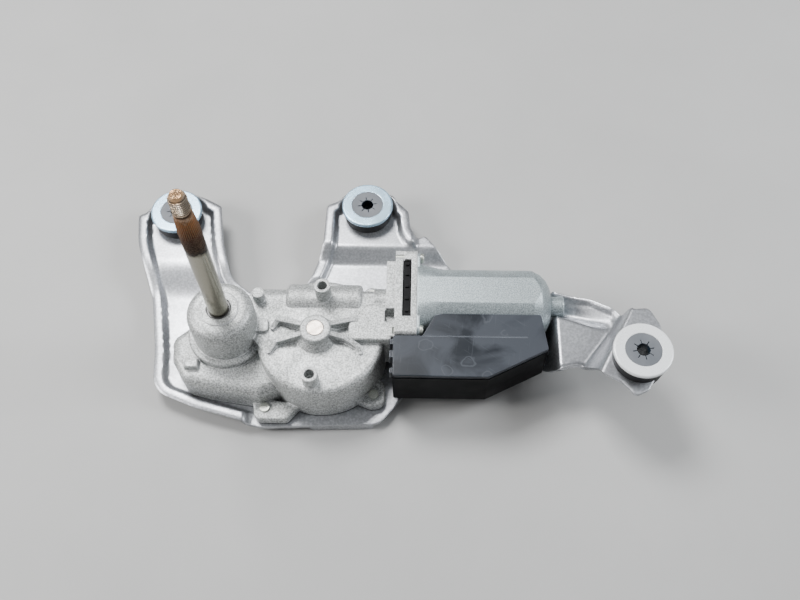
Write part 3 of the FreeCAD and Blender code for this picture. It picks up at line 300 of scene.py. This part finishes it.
def new_group(name, inputs, outputs):
    """A shader group with named float, colour or vector sockets."""
    group = bpy.data.node_groups.new(name, "ShaderNodeTree")
    kinds = {"value": "NodeSocketFloat", "colour": "NodeSocketColor", "vector": "NodeSocketVector"}
    for label, kind, start in inputs:
        socket = group.interface.new_socket(label, in_out="INPUT", socket_type=kinds[kind])
        if start is not None:
            socket.default_value = start
    for label, kind in outputs:
        group.interface.new_socket(label, in_out="OUTPUT", socket_type=kinds[kind])
    return group, add(group, "NodeGroupInput"), add(group, "NodeGroupOutput")


def grain_group():
    """Two sizes of noise on Object coordinates: cloudy tone changes, and a fine grain that is also given
    with more contrast as specks."""
    g, came, goes = new_group("cloud_and_grain", [
        ("Cloud Scale", "value", 60.0), ("Grain Scale", "value", 2500.0)],
        [("Cloud", "value"), ("Grain", "value"), ("Speck", "value")])
    where = add(g, "ShaderNodeTexCoord")
    cloud = add(g, "ShaderNodeTexNoise")
    cloud.inputs["Detail"].default_value = 6.0
    cloud.inputs["Roughness"].default_value = 0.62
    grain = add(g, "ShaderNodeTexNoise")
    grain.inputs["Detail"].default_value = 3.0
    wire(g, where.outputs["Object"], cloud.inputs["Vector"])
    wire(g, where.outputs["Object"], grain.inputs["Vector"])
    wire(g, came.outputs["Cloud Scale"], cloud.inputs["Scale"])
    wire(g, came.outputs["Grain Scale"], grain.inputs["Scale"])
    wire(g, stretch(g, cloud.outputs["Fac"], 0.32, 0.68), goes.inputs["Cloud"])
    wire(g, grain.outputs["Fac"], goes.inputs["Grain"])
    wire(g, stretch(g, grain.outputs["Fac"], 0.40, 0.62), goes.inputs["Speck"])
    return g


def edge_group():
    """Edges eased by a small radius; where the eased normal leaves the true one the edge counts as
    worn."""
    g, came, goes = new_group("eased_edges", [("Radius", "value", 0.0006), ("Wear", "value", 6.0)],
                              [("Normal", "vector"), ("Edge", "value")])
    ease = add(g, "ShaderNodeBevel", samples=6)
    flat = add(g, "ShaderNodeNewGeometry")
    match = add(g, "ShaderNodeVectorMath", operation="DOT_PRODUCT")
    wire(g, came.outputs["Radius"], ease.inputs["Radius"])
    wire(g, ease.outputs["Normal"], match.inputs[0])
    wire(g, flat.outputs["Normal"], match.inputs[1])
    apart = maths(g, "SUBTRACT", 1.0, match.outputs["Value"], clamp=True)
    wire(g, ease.outputs["Normal"], goes.inputs["Normal"])
    wire(g, maths(g, "MULTIPLY", apart, came.outputs["Wear"], clamp=True), goes.inputs["Edge"])
    return g


def scratch_group():
    """Fine straight scratches in two directions: noise squeezed along one axis and cut to its highest
    ridges."""
    g, came, goes = new_group("fine_scratches", [("Scale", "value", 90.0), ("Amount", "value", 0.5)],
                              [("Scratch", "value")])
    where = add(g, "ShaderNodeTexCoord")
    sets = []
    for turn, squeezed in ((0.6, 22.0), (1.7, 30.0)):
        lay = add(g, "ShaderNodeVectorRotate", rotation_type="EULER_XYZ")
        lay.inputs["Rotation"].default_value = (0.0, 0.0, turn)
        wire(g, where.outputs["Object"], lay.inputs["Vector"])
        squeeze = add(g, "ShaderNodeVectorMath", operation="MULTIPLY")
        squeeze.inputs[1].default_value = (1.0, squeezed, 1.0)
        wire(g, lay.outputs["Vector"], squeeze.inputs[0])
        noise = add(g, "ShaderNodeTexNoise")
        noise.inputs["Detail"].default_value = 2.0
        wire(g, squeeze.outputs["Vector"], noise.inputs["Vector"])
        wire(g, came.outputs["Scale"], noise.inputs["Scale"])
        sets.append(stretch(g, noise.outputs["Fac"], 0.66, 0.74))
    both = maths(g, "MAXIMUM", *sets)
    wire(g, maths(g, "MULTIPLY", both, came.outputs["Amount"], clamp=True), goes.inputs["Scratch"])
    return g


GRAIN, EASED, SCRATCHES = grain_group(), edge_group(), scratch_group()


def use(tree, group, **values):
    """Places a group and sets its named inputs; underscores stand for spaces."""
    placed = add(tree, "ShaderNodeGroup", node_tree=group)
    for key, value in values.items():
        placed.inputs[key.replace("_", " ")].default_value = value
    return placed


def mix(tree, mask, a, b):
    """Colour mix by a mask; a and b are colours or sockets."""
    mixed = add(tree, "ShaderNodeMix", data_type="RGBA")
    wire(tree, mask, mixed.inputs[0])
    for value, socket in ((a, mixed.inputs[6]), (b, mixed.inputs[7])):
        if isinstance(value, tuple):
            socket.default_value = (*value, 1.0)
        else:
            wire(tree, value, socket)
    return mixed.outputs[2]


def blend(tree, share, a, b):
    """Colour b laid over colour a by a fixed share."""
    laid = add(tree, "ShaderNodeMix", data_type="RGBA")
    laid.inputs[0].default_value = share
    wire(tree, a, laid.inputs[6])
    wire(tree, b, laid.inputs[7])
    return laid.outputs[2]


def scaled(tree, value, low, high):
    """A 0..1 value turned into low..high."""
    made = add(tree, "ShaderNodeMapRange")
    made.inputs["To Min"].default_value = low
    made.inputs["To Max"].default_value = high
    wire(tree, value, made.inputs["Value"])
    return made.outputs["Result"]


def material(name, metallic):
    """A material with its Principled shader; returns the material, its tree and the shader."""
    made = bpy.data.materials.new(name)
    made.use_nodes = True
    shader = made.node_tree.nodes["Principled BSDF"]
    shader.inputs["Metallic"].default_value = metallic
    shader.inputs["IOR"].default_value = 1.5
    return made, made.node_tree, shader


def colour_stops(ramp, inner, first, last):
    """Sets the two end colours of a ramp and adds the (position, colour) stops between them."""
    for position, colour in inner:
        ramp.elements.new(position).color = (*colour, 1)
    ramp.elements[0].color = (*first, 1)
    ramp.elements[-1].color = (*last, 1)


def grey(value):
    """One tone as a colour."""
    return value, value, value


def metal(name, tone, shade, worn, rough, metallic=0.9, cloud=60.0, grain=2500.0, tooth=0.06, depth=0.00008,
          radius=0.0006, wear=5.0, scratch=0.25, speck=0.3, share=0.5):
    """A worked metal: cloudy tone between two colours, fine tooth, scratches and brighter worn edges."""
    made, tree, shader = material(name, metallic)
    field = use(tree, GRAIN, Cloud_Scale=cloud, Grain_Scale=grain)
    edges = use(tree, EASED, Radius=radius, Wear=wear)
    lines = use(tree, SCRATCHES, Amount=scratch)
    colour = mix(tree, field.outputs["Cloud"], shade, tone)
    dark = tuple(c * (1 - speck) for c in shade)
    pale = tuple(c + (w - c) * speck for c, w in zip(tone, worn))
    tooth_tone = mix(tree, field.outputs["Speck"], dark, pale)
    colour = blend(tree, share, colour, tooth_tone)
    colour = mix(tree, lines.outputs["Scratch"], colour, worn)
    colour = mix(tree, edges.outputs["Edge"], colour, worn)
    wire(tree, colour, shader.inputs["Base Color"])
    wire(tree, scaled(tree, field.outputs["Cloud"], rough + 0.07, rough - 0.05), shader.inputs["Roughness"])
    bump = relief(tree, field.outputs["Grain"], tooth, depth, edges.outputs["Normal"])
    wire(tree, bump, shader.inputs["Normal"])
    return made


bracket_plating = metal("satin_zinc_sheet", (0.50, 0.515, 0.545), (0.37, 0.38, 0.40), (0.84, 0.85, 0.87),
                        0.38, cloud=34.0, grain=900.0, tooth=0.08, wear=4.5, scratch=0.25, speck=0.20)
sheet = mesh_piece("bracket_sheet", *pressed_sheet(), SHEET, -1, SHEET_BEVEL)
lips = [mesh_piece("bracket_lip_" + side, *edge_lip(*ends), LIP_WALL, 1) for side, ends in LIP_ENDS.items()]
for piece in [sheet] + lips:
    piece.data.materials.append(bracket_plating)
    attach(piece, "motor_body")
    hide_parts("mounting_bracket")

# ---------------------------------------------------------------- rubber mounts
# Each arm rides on a rubber ring that grips the edge of its hole. A flanged steel collar with bright zinc
# plating goes down the middle for the body's stud, and a thin grey star washer keeps the stud in the
# collar.


def dress(name, finish):
    """Gives a CAD node its finish."""
    node[name].data.materials.clear()
    node[name].data.materials.append(finish)


def collar_zinc_and_painted_light(place, centre, tone, shade, metallic):
    """Bright zinc, with painted shade: near black within 6 mm of the collar's axis, over the sleeve and its
    bore.
    """
    made = metal("bright_zinc_and_painted_light_" + place, tone, shade, (0.95, 0.97, 0.98), 0.26, metallic=metallic,
                 cloud=110.0, grain=3200.0, tooth=0.03, wear=3.0, scratch=0.15, speck=0.1)
    tree, shader = made.node_tree, made.node_tree.nodes["Principled BSDF"]
    where = add(tree, "ShaderNodeTexCoord")
    flat = add(tree, "ShaderNodeVectorMath", operation="MULTIPLY")
    flat.inputs[1].default_value = (1.0, 1.0, 0.0)
    away = add(tree, "ShaderNodeVectorMath", operation="DISTANCE")
    away.inputs[1].default_value = (centre[0] * MM, centre[1] * MM, 0.0)
    wire(tree, where.outputs["Object"], flat.inputs[0])
    wire(tree, flat.outputs["Vector"], away.inputs[0])
    outside_sleeve = stretch(tree, away.outputs["Value"], 0.0060, 0.0064)
    plated = shader.inputs["Base Color"].links[0].from_socket
    # Painted shade: the sleeve and bore get a near-black colour where the bore lies in shadow.
    wire(tree, mix(tree, outside_sleeve, (0.004, 0.016, 0.03), plated), shader.inputs["Base Color"])
    return made


for place, centre, tone, shade, metallic in (
        ("left", SEATS[0], (0.56, 0.77, 0.93), (0.34, 0.55, 0.76), 0.7),
        ("centre", SEATS[1], (0.58, 0.79, 0.94), (0.36, 0.58, 0.78), 0.7),
        # The right collar is the same zinc as the others; its near-white tone with little metallic is a
        # painted highlight.
        ("right", SEATS[2], (0.95, 0.97, 0.98), (0.90, 0.94, 0.96), 0.15)):
    dress("flanged_collar_" + place, collar_zinc_and_painted_light(place, centre, tone, shade, metallic))


def moulded(name, tone, shade, rough, grain=4000.0, tooth=0.05, radius=0.0004, edge=0.25, gloss=0.3):
    """Rubber or plastic: two close tones, a fine mould texture and slightly paler edges."""
    made, tree, shader = material(name, 0.0)
    shader.inputs["Specular IOR Level"].default_value = gloss
    field = use(tree, GRAIN, Cloud_Scale=90.0, Grain_Scale=grain)
    edges = use(tree, EASED, Radius=radius, Wear=edge * 8)
    colour = mix(tree, field.outputs["Cloud"], shade, tone)
    paler = tuple(min(1.0, c * 1.8 + 0.02) for c in tone)
    colour = mix(tree, edges.outputs["Edge"], colour, paler)
    wire(tree, colour, shader.inputs["Base Color"])
    wire(tree, scaled(tree, field.outputs["Cloud"], rough + 0.08, rough - 0.06), shader.inputs["Roughness"])
    bump = relief(tree, field.outputs["Grain"], tooth, 0.0001, edges.outputs["Normal"])
    wire(tree, bump, shader.inputs["Normal"])
    return made


mount_rubber = moulded("mount_rubber", (0.020, 0.020, 0.022), (0.012, 0.012, 0.013), 0.58)
star_nylon = moulded("grey_star_washer", (0.155, 0.165, 0.18), (0.11, 0.12, 0.135), 0.42)
for place in ("left", "centre", "right"):
    dress("rubber_grommet_" + place, mount_rubber)
    dress("star_retainer_" + place, star_nylon)

# ---------------------------------------------------------------- gear housing
# Die-cast aluminium gearbox, blasted after casting: a grainy, slightly greenish grey with bright rubbed
# corners. Five screws hold it down on the bracket through a thin gasket.

casting = metal("blasted_casting", (0.52, 0.54, 0.535), (0.38, 0.395, 0.385), (0.90, 0.91, 0.92), 0.50,
                metallic=0.55, cloud=85.0, grain=1300.0, tooth=0.55, depth=0.00018, radius=0.0009, wear=3.8,
                scratch=0.10, speck=0.55, share=0.62)
dress("gear_housing", casting)
dress("housing_gasket", moulded("gasket_board", (0.05, 0.05, 0.05), (0.03, 0.03, 0.03), 0.7))
screw_plating = metal("screw_zinc", (0.70, 0.73, 0.66), (0.56, 0.59, 0.52), (0.88, 0.89, 0.85), 0.34,
                      cloud=200.0, scratch=0.2)
dress("housing_screws", screw_plating)
dress("yoke_screws", screw_plating)
dress("wheel_pin", metal("ground_pin", (0.62, 0.56, 0.50), (0.44, 0.36, 0.29), (0.85, 0.80, 0.74), 0.34,
                         cloud=300.0, scratch=0.4))

# ---------------------------------------------------------------- output shaft
# Ground steel shaft. Its lower length is polished by the seal, the end where the wiper arm sat is rusted,
# with a fine knurl below the cut thread, and the tip is bare and tan. Heights here are in metres over the
# boss's top.

SHAFT_SHOWS = 0.002, 0.0975                 # the tones are spread over this height
KNURL_STARTS, KNURL_TEETH = (0.064, 0.070), 36.0
THREAD_ROOT_R, THREAD_CREST_R = 0.00340, 0.00385
TIP_STARTS = 0.0915, 0.0925
POLISHED, BLACKENED, TAN_TIP = (0.27, 0.26, 0.205), (0.010, 0.006, 0.004), (0.80, 0.50, 0.28)
SHAFT_TONES = [(0.54, (0.34, 0.325, 0.27)), (0.575, BLACKENED), (0.65, (0.024, 0.008, 0.003)),
               (0.73, (0.060, 0.016, 0.005)), (0.82, (0.22, 0.080, 0.026)), (0.86, (0.46, 0.40, 0.32)),
               (0.95, (0.52, 0.46, 0.38))]
RUST_SHARES = (0.57, 0.0), (0.61, 1.0), (0.84, 1.0), (0.87, 0.15)


def shaft_finish():
    """Tone and rust follow the height along the shaft; the knurl is a sine of the angle round it."""
    made, tree, shader = material("wiper_shaft", 1.0)
    where = add(tree, "ShaderNodeTexCoord")
    split = add(tree, "ShaderNodeSeparateXYZ")
    wire(tree, where.outputs["Object"], split.inputs["Vector"])
    field = use(tree, GRAIN, Cloud_Scale=160.0, Grain_Scale=1400.0)
    ragged = maths(tree, "MULTIPLY_ADD", field.outputs["Cloud"], 0.004, split.outputs["Z"])
    height = stretch(tree, ragged, *SHAFT_SHOWS)
    tones = add(tree, "ShaderNodeValToRGB")
    tones.color_ramp.elements[-1].position = 0.975
    colour_stops(tones.color_ramp, SHAFT_TONES, POLISHED, TAN_TIP)
    wire(tree, height, tones.inputs["Fac"])
    rusty = add(tree, "ShaderNodeValToRGB")
    colour_stops(rusty.color_ramp, [(at, grey(share)) for at, share in RUST_SHARES], grey(0), grey(0.25))
    wire(tree, height, rusty.inputs["Fac"])
    rust = rusty.outputs["Color"]
    angle = maths(tree, "ARCTAN2", split.outputs["Y"], split.outputs["X"])
    wave = maths(tree, "SINE", maths(tree, "MULTIPLY", angle, KNURL_TEETH))
    knurl = maths(tree, "MULTIPLY", wave, stretch(tree, split.outputs["Z"], *KNURL_STARTS))
    pits = maths(tree, "MULTIPLY", field.outputs["Speck"], scaled(tree, rust, 0.10, 0.7))
    colour = mix(tree, pits, tones.outputs["Color"], (0.10, 0.065, 0.04))
    colour = mix(tree, stretch(tree, knurl, 0.4, 1.0, top=0.4), colour, (0.50, 0.27, 0.10))
    flat = add(tree, "ShaderNodeVectorMath", operation="MULTIPLY")
    flat.inputs[1].default_value = (1.0, 1.0, 0.0)
    across = add(tree, "ShaderNodeVectorMath", operation="LENGTH")
    wire(tree, where.outputs["Object"], flat.inputs[0])
    wire(tree, flat.outputs["Vector"], across.inputs[0])
    crest = stretch(tree, across.outputs["Value"], THREAD_ROOT_R, THREAD_CREST_R)
    clean = maths(tree, "MAXIMUM", crest, stretch(tree, split.outputs["Z"], *TIP_STARTS))
    colour = mix(tree, clean, (0.045, 0.025, 0.014), colour)
    wire(tree, colour, shader.inputs["Base Color"])
    wire(tree, scaled(tree, rust, 0.17, 0.60), shader.inputs["Roughness"])
    wire(tree, scaled(tree, rust, 1.0, 0.0), shader.inputs["Metallic"])
    shader.inputs["Specular IOR Level"].default_value = 0.12
    coarse = relief(tree, maths(tree, "MULTIPLY", field.outputs["Grain"], rust), 0.35, 0.00022)
    wire(tree, relief(tree, knurl, 0.6, 0.00018, coarse), shader.inputs["Normal"])
    return made


dress("output_shaft", shaft_finish())
dress("shaft_circlip", metal("dark_spring_steel", (0.10, 0.10, 0.10), (0.06, 0.06, 0.06), (0.3, 0.3, 0.3),
                             0.4))
dress("shaft_seal", mount_rubber)

# ---------------------------------------------------------------- motor can
# Deep-drawn steel can with a dull galvanised skin. Two flats are pressed into it, and its end steps down
# to the nose that holds the rear bearing.

dress("motor_yoke", metal("galvanised_can", (0.43, 0.49, 0.51), (0.32, 0.375, 0.39), (0.72, 0.80, 0.83),
                          0.42, metallic=0.65, cloud=70.0, grain=1900.0, tooth=0.16, depth=0.0001,
                          radius=0.001, wear=4.5, scratch=0.1, speck=0.45, share=0.65))
dress("brush_holder", moulded("holder_plastic", (0.008, 0.008, 0.009), (0.004, 0.004, 0.005), 0.5,
                              gloss=0.12))

# ---------------------------------------------------------------- controller box
# Black glass-filled case with a snap-on lid. The lid is dusty and marked by dried water drops and light
# scratches; the case below it keeps its plain mould finish.

RING_BAND = (0.26, 0.0), (0.30, 1.0), (0.345, 0.25)


def drop_group():
    """Rings left by dried drops, a thin band of the distance to the centres of some scattered cells, and
    the cloud noise of the dust film between them."""
    g, came, goes = new_group("dried_drops", [("Scale", "value", 60.0), ("Amount", "value", 0.6)],
                              [("Ring", "value"), ("Film", "value")])
    where = add(g, "ShaderNodeTexCoord")
    wobble = add(g, "ShaderNodeTexNoise")
    wobble.inputs["Scale"].default_value = 140.0
    shift = add(g, "ShaderNodeMix", data_type="VECTOR")
    shift.inputs[0].default_value = 0.006
    wire(g, where.outputs["Object"], wobble.inputs["Vector"])
    wire(g, where.outputs["Object"], shift.inputs[4])
    wire(g, wobble.outputs["Color"], shift.inputs[5])
    cells = add(g, "ShaderNodeTexVoronoi", feature="F1")
    wire(g, shift.outputs[1], cells.inputs["Vector"])
    wire(g, came.outputs["Scale"], cells.inputs["Scale"])
    band = add(g, "ShaderNodeValToRGB")
    band.color_ramp.elements[-1].position = 0.36
    colour_stops(band.color_ramp, [(at, grey(value)) for at, value in RING_BAND], grey(0.28), grey(0))
    wire(g, cells.outputs["Distance"], band.inputs["Fac"])
    chance = add(g, "ShaderNodeSeparateXYZ")
    wire(g, cells.outputs["Color"], chance.inputs["Vector"])
    pick = maths(g, "GREATER_THAN", chance.outputs["X"], 0.55)
    shown = maths(g, "MULTIPLY", band.outputs["Color"], pick)
    wire(g, maths(g, "MULTIPLY", shown, came.outputs["Amount"], clamp=True), goes.inputs["Ring"])
    film = add(g, "ShaderNodeTexNoise")
    film.inputs["Scale"].default_value = 38.0
    film.inputs["Detail"].default_value = 7.0
    film.inputs["Distortion"].default_value = 0.8
    wire(g, where.outputs["Object"], film.inputs["Vector"])
    wire(g, film.outputs["Fac"], goes.inputs["Film"])
    return g


def lid_finish():
    """Dark plastic under a dusty film; rings, film and scratches lift the tone and dull the gloss."""
    made, tree, shader = material("dusty_lid", 0.0)
    shader.inputs["Specular IOR Level"].default_value = 0.22
    drops = use(tree, drop_group(), Scale=105.0, Amount=0.5)
    lines = use(tree, SCRATCHES, Scale=70.0, Amount=0.35)
    edges = use(tree, EASED, Radius=0.0005, Wear=7.0)
    field = use(tree, GRAIN, Cloud_Scale=45.0, Grain_Scale=2600.0)
    film = stretch(tree, drops.outputs["Film"], 0.42, 0.60)
    colour = mix(tree, film, (0.012, 0.015, 0.020), (0.040, 0.046, 0.057))
    colour = mix(tree, drops.outputs["Ring"], colour, (0.078, 0.086, 0.100))
    colour = mix(tree, lines.outputs["Scratch"], colour, (0.085, 0.094, 0.110))
    colour = mix(tree, edges.outputs["Edge"], colour, (0.22, 0.24, 0.27))
    wire(tree, colour, shader.inputs["Base Color"])
    wire(tree, scaled(tree, film, 0.30, 0.46), shader.inputs["Roughness"])
    bump = relief(tree, field.outputs["Grain"], 0.05, 0.0001, edges.outputs["Normal"])
    wire(tree, bump, shader.inputs["Normal"])
    return made


dress("controller_lid", lid_finish())
case_plastic = moulded("case_plastic", (0.006, 0.0065, 0.0075), (0.0025, 0.0025, 0.003), 0.36, edge=0.08,
                       gloss=0.04)
dress("controller_case", case_plastic)
dress("connector_header", case_plastic)

# ---------------------------------------------------------------- inside the controller
# Soldered board with its relay, capacitor, choke and driver chips, and the tinned pins and blades that
# lead in from the harness socket and out to the brushes.

board_lacquer = moulded("board_lacquer", (0.03, 0.17, 0.08), (0.02, 0.12, 0.06), 0.32)
chip_resin = moulded("chip_resin", (0.030, 0.030, 0.032), (0.020, 0.020, 0.022), 0.5)
tinned_brass = metal("tinned_brass", (0.74, 0.71, 0.62), (0.60, 0.56, 0.46), (0.9, 0.88, 0.8), 0.28,
                     cloud=300.0)
dress("circuit_board", board_lacquer)
dress("relay", chip_resin)
dress("driver_chips", chip_resin)
dress("capacitor", metal("capacitor_can", (0.66, 0.67, 0.68), (0.55, 0.56, 0.57), (0.85, 0.85, 0.86), 0.26))
dress("connector_pins", tinned_brass)
dress("motor_terminals", tinned_brass)

# ---------------------------------------------------------------- armature and brushes
# Laminated core on a ground shaft that carries the rolled worm, wound with enamelled copper. Copper bars
# under carbon brushes feed it between two ferrite shells.

ground_steel = metal("ground_steel", (0.62, 0.62, 0.63), (0.48, 0.48, 0.50), (0.85, 0.85, 0.86), 0.24,
                     cloud=240.0, scratch=0.35)
copper = metal("enamelled_copper", (0.66, 0.27, 0.12), (0.46, 0.17, 0.07), (0.85, 0.45, 0.25), 0.34,
               cloud=400.0)
ferrite = metal("ferrite", (0.115, 0.115, 0.12), (0.075, 0.075, 0.08), (0.2, 0.2, 0.21), 0.55, metallic=0.3)
bronze = metal("sintered_bronze", (0.52, 0.36, 0.17), (0.38, 0.26, 0.12), (0.7, 0.52, 0.28), 0.45,
               tooth=0.2)
dress("armature_shaft", ground_steel)
dress("armature_core", metal("stacked_sheet", (0.30, 0.30, 0.32), (0.20, 0.20, 0.22), (0.5, 0.5, 0.52),
                             0.45))
dress("armature_winding", copper)
dress("commutator", copper)
dress("field_magnets", ferrite)
dress("choke", ferrite)
dress("carbon_brushes", moulded("brush_carbon", (0.05, 0.05, 0.05), (0.035, 0.035, 0.035), 0.6))
dress("brush_springs", ground_steel)
dress("thrust_pad", ground_steel)
for name in ("end_bush", "front_bearing", "rear_bearing", "shaft_bush_lower", "shaft_bush_upper"):
    dress(name, bronze)

# ---------------------------------------------------------------- gears and linkage
# Greased nylon worm wheel on its pin, and the hardened pinion, sector and plates that turn its circling
# into the back and forth swing of the shaft.

dress("worm_wheel", moulded("greased_nylon", (0.74, 0.71, 0.60), (0.64, 0.60, 0.48), 0.34))
hardened = metal("hardened_plate", (0.40, 0.39, 0.38), (0.28, 0.27, 0.27), (0.7, 0.7, 0.7), 0.34,
                 cloud=150.0)
for name in ("output_pinion", "holding_plate", "sector_link", "sector_pivot_pin", "crank_pin"):
    dress(name, hardened)
for name in ("wheel_thrust_washer", "wheel_retaining_ring", "shaft_thrust_washer"):
    dress(name, ground_steel)

# ---------------------------------------------------------------- studio
# A plain pale floor, one broad lamp behind and above, and a weaker one on each side, the left one the
# stronger of the two. The world fills the shadows: mid grey at the horizon and nearly white overhead.

FLOOR_HALF, FLOOR_LINES = 3.0, 9            # in metres


def floor_sheet():
    """A flat square grid at the height that the bracket's lips stand on."""
    side = np.linspace(-FLOOR_HALF, FLOOR_HALF, FLOOR_LINES)
    gx, gy = np.meshgrid(side, side, indexing="ij")
    verts = np.column_stack([gx.ravel(), gy.ravel(), np.full(gx.size, (PLATE + LIP_BOTTOM) * MM)])
    mesh = bpy.data.meshes.new("floor")
    mesh.from_pydata(verts.tolist(), [], grid_faces(FLOOR_LINES, FLOOR_LINES).tolist())
    floor = bpy.data.objects.new("floor", mesh)
    bpy.context.scene.collection.objects.link(floor)
    return floor


def paper_finish():
    """Matt grey paper with a barely visible cloud in its tone."""
    made, tree, shader = material("pale_floor", 0.0)
    field = use(tree, GRAIN, Cloud_Scale=6.0, Grain_Scale=600.0)
    colour = mix(tree, field.outputs["Cloud"], (0.40, 0.40, 0.395), (0.44, 0.44, 0.435))
    wire(tree, colour, shader.inputs["Base Color"])
    shader.inputs["Roughness"].default_value = 0.85
    return made


floor = floor_sheet()
floor.data.materials.append(paper_finish())


def lamp(name, place, aim, size, power, tint):
    """A square soft lamp turned to face its aim."""
    data = bpy.data.lights.new(name, "AREA")
    data.size, data.energy, data.color = size, power, tint
    made = bpy.data.objects.new(name, data)
    made.location = place
    made.rotation_euler = (Vector(aim) - Vector(place)).to_track_quat("-Z", "Y").to_euler()
    bpy.context.scene.collection.objects.link(made)


lamp("key", (-0.20, 0.42, 0.86), (0.08, 0.02, 0.0), 0.34, 12.5, (1.0, 1.0, 1.0))
lamp("right", (0.80, 0.10, 0.55), (0.14, 0.0, 0.0), 0.30, 6.0, (0.94, 0.97, 1.0))
lamp("left", (-0.75, -0.10, 0.55), (0.0, 0.0, 0.0), 0.35, 9.0, (1.0, 0.99, 0.98))

def studio_sky():
    """A world whose tone follows the height of the view direction."""
    sky = bpy.data.worlds.new("studio")
    sky.use_nodes = True
    tree = sky.node_tree
    where = add(tree, "ShaderNodeTexCoord")
    split = add(tree, "ShaderNodeSeparateXYZ")
    tones = add(tree, "ShaderNodeValToRGB")
    tones.color_ramp.elements[1].position = 0.95
    colour_stops(tones.color_ramp, [], (0.30, 0.30, 0.31), (0.95, 0.97, 1.0))
    wire(tree, where.outputs["Generated"], split.inputs["Vector"])
    wire(tree, split.outputs["Z"], tones.inputs["Fac"])
    wire(tree, tones.outputs["Color"], tree.nodes["Background"].inputs["Color"])
    tree.nodes["Background"].inputs["Strength"].default_value = 0.36
    return sky


bpy.context.scene.world = studio_sky()

# ---------------------------------------------------------------- camera
# In front of the unit and above it, tilted down sixty degrees. The three unit vectors are the camera's
# own axes in the frame, and the eye is in metres.

right = Vector((0.9997, 0.0214, -0.0104))
up = Vector((-0.0135, 0.8705, 0.4920))
back = Vector((0.0196, -0.4918, 0.8705))
eye = Vector((0.09652, -0.21359, 0.38871))
lens = bpy.data.cameras.new("camera")
lens.sensor_width, lens.lens = 36.0, 41.4
lens.clip_start, lens.clip_end = 0.01, 20.0
camera = bpy.data.objects.new("camera", lens)
camera.matrix_world = Matrix.Translation(eye) @ Matrix((right, up, back)).transposed().to_4x4()
bpy.context.scene.collection.objects.link(camera)
bpy.context.scene.camera = camera

bpy.context.view_layer.update()
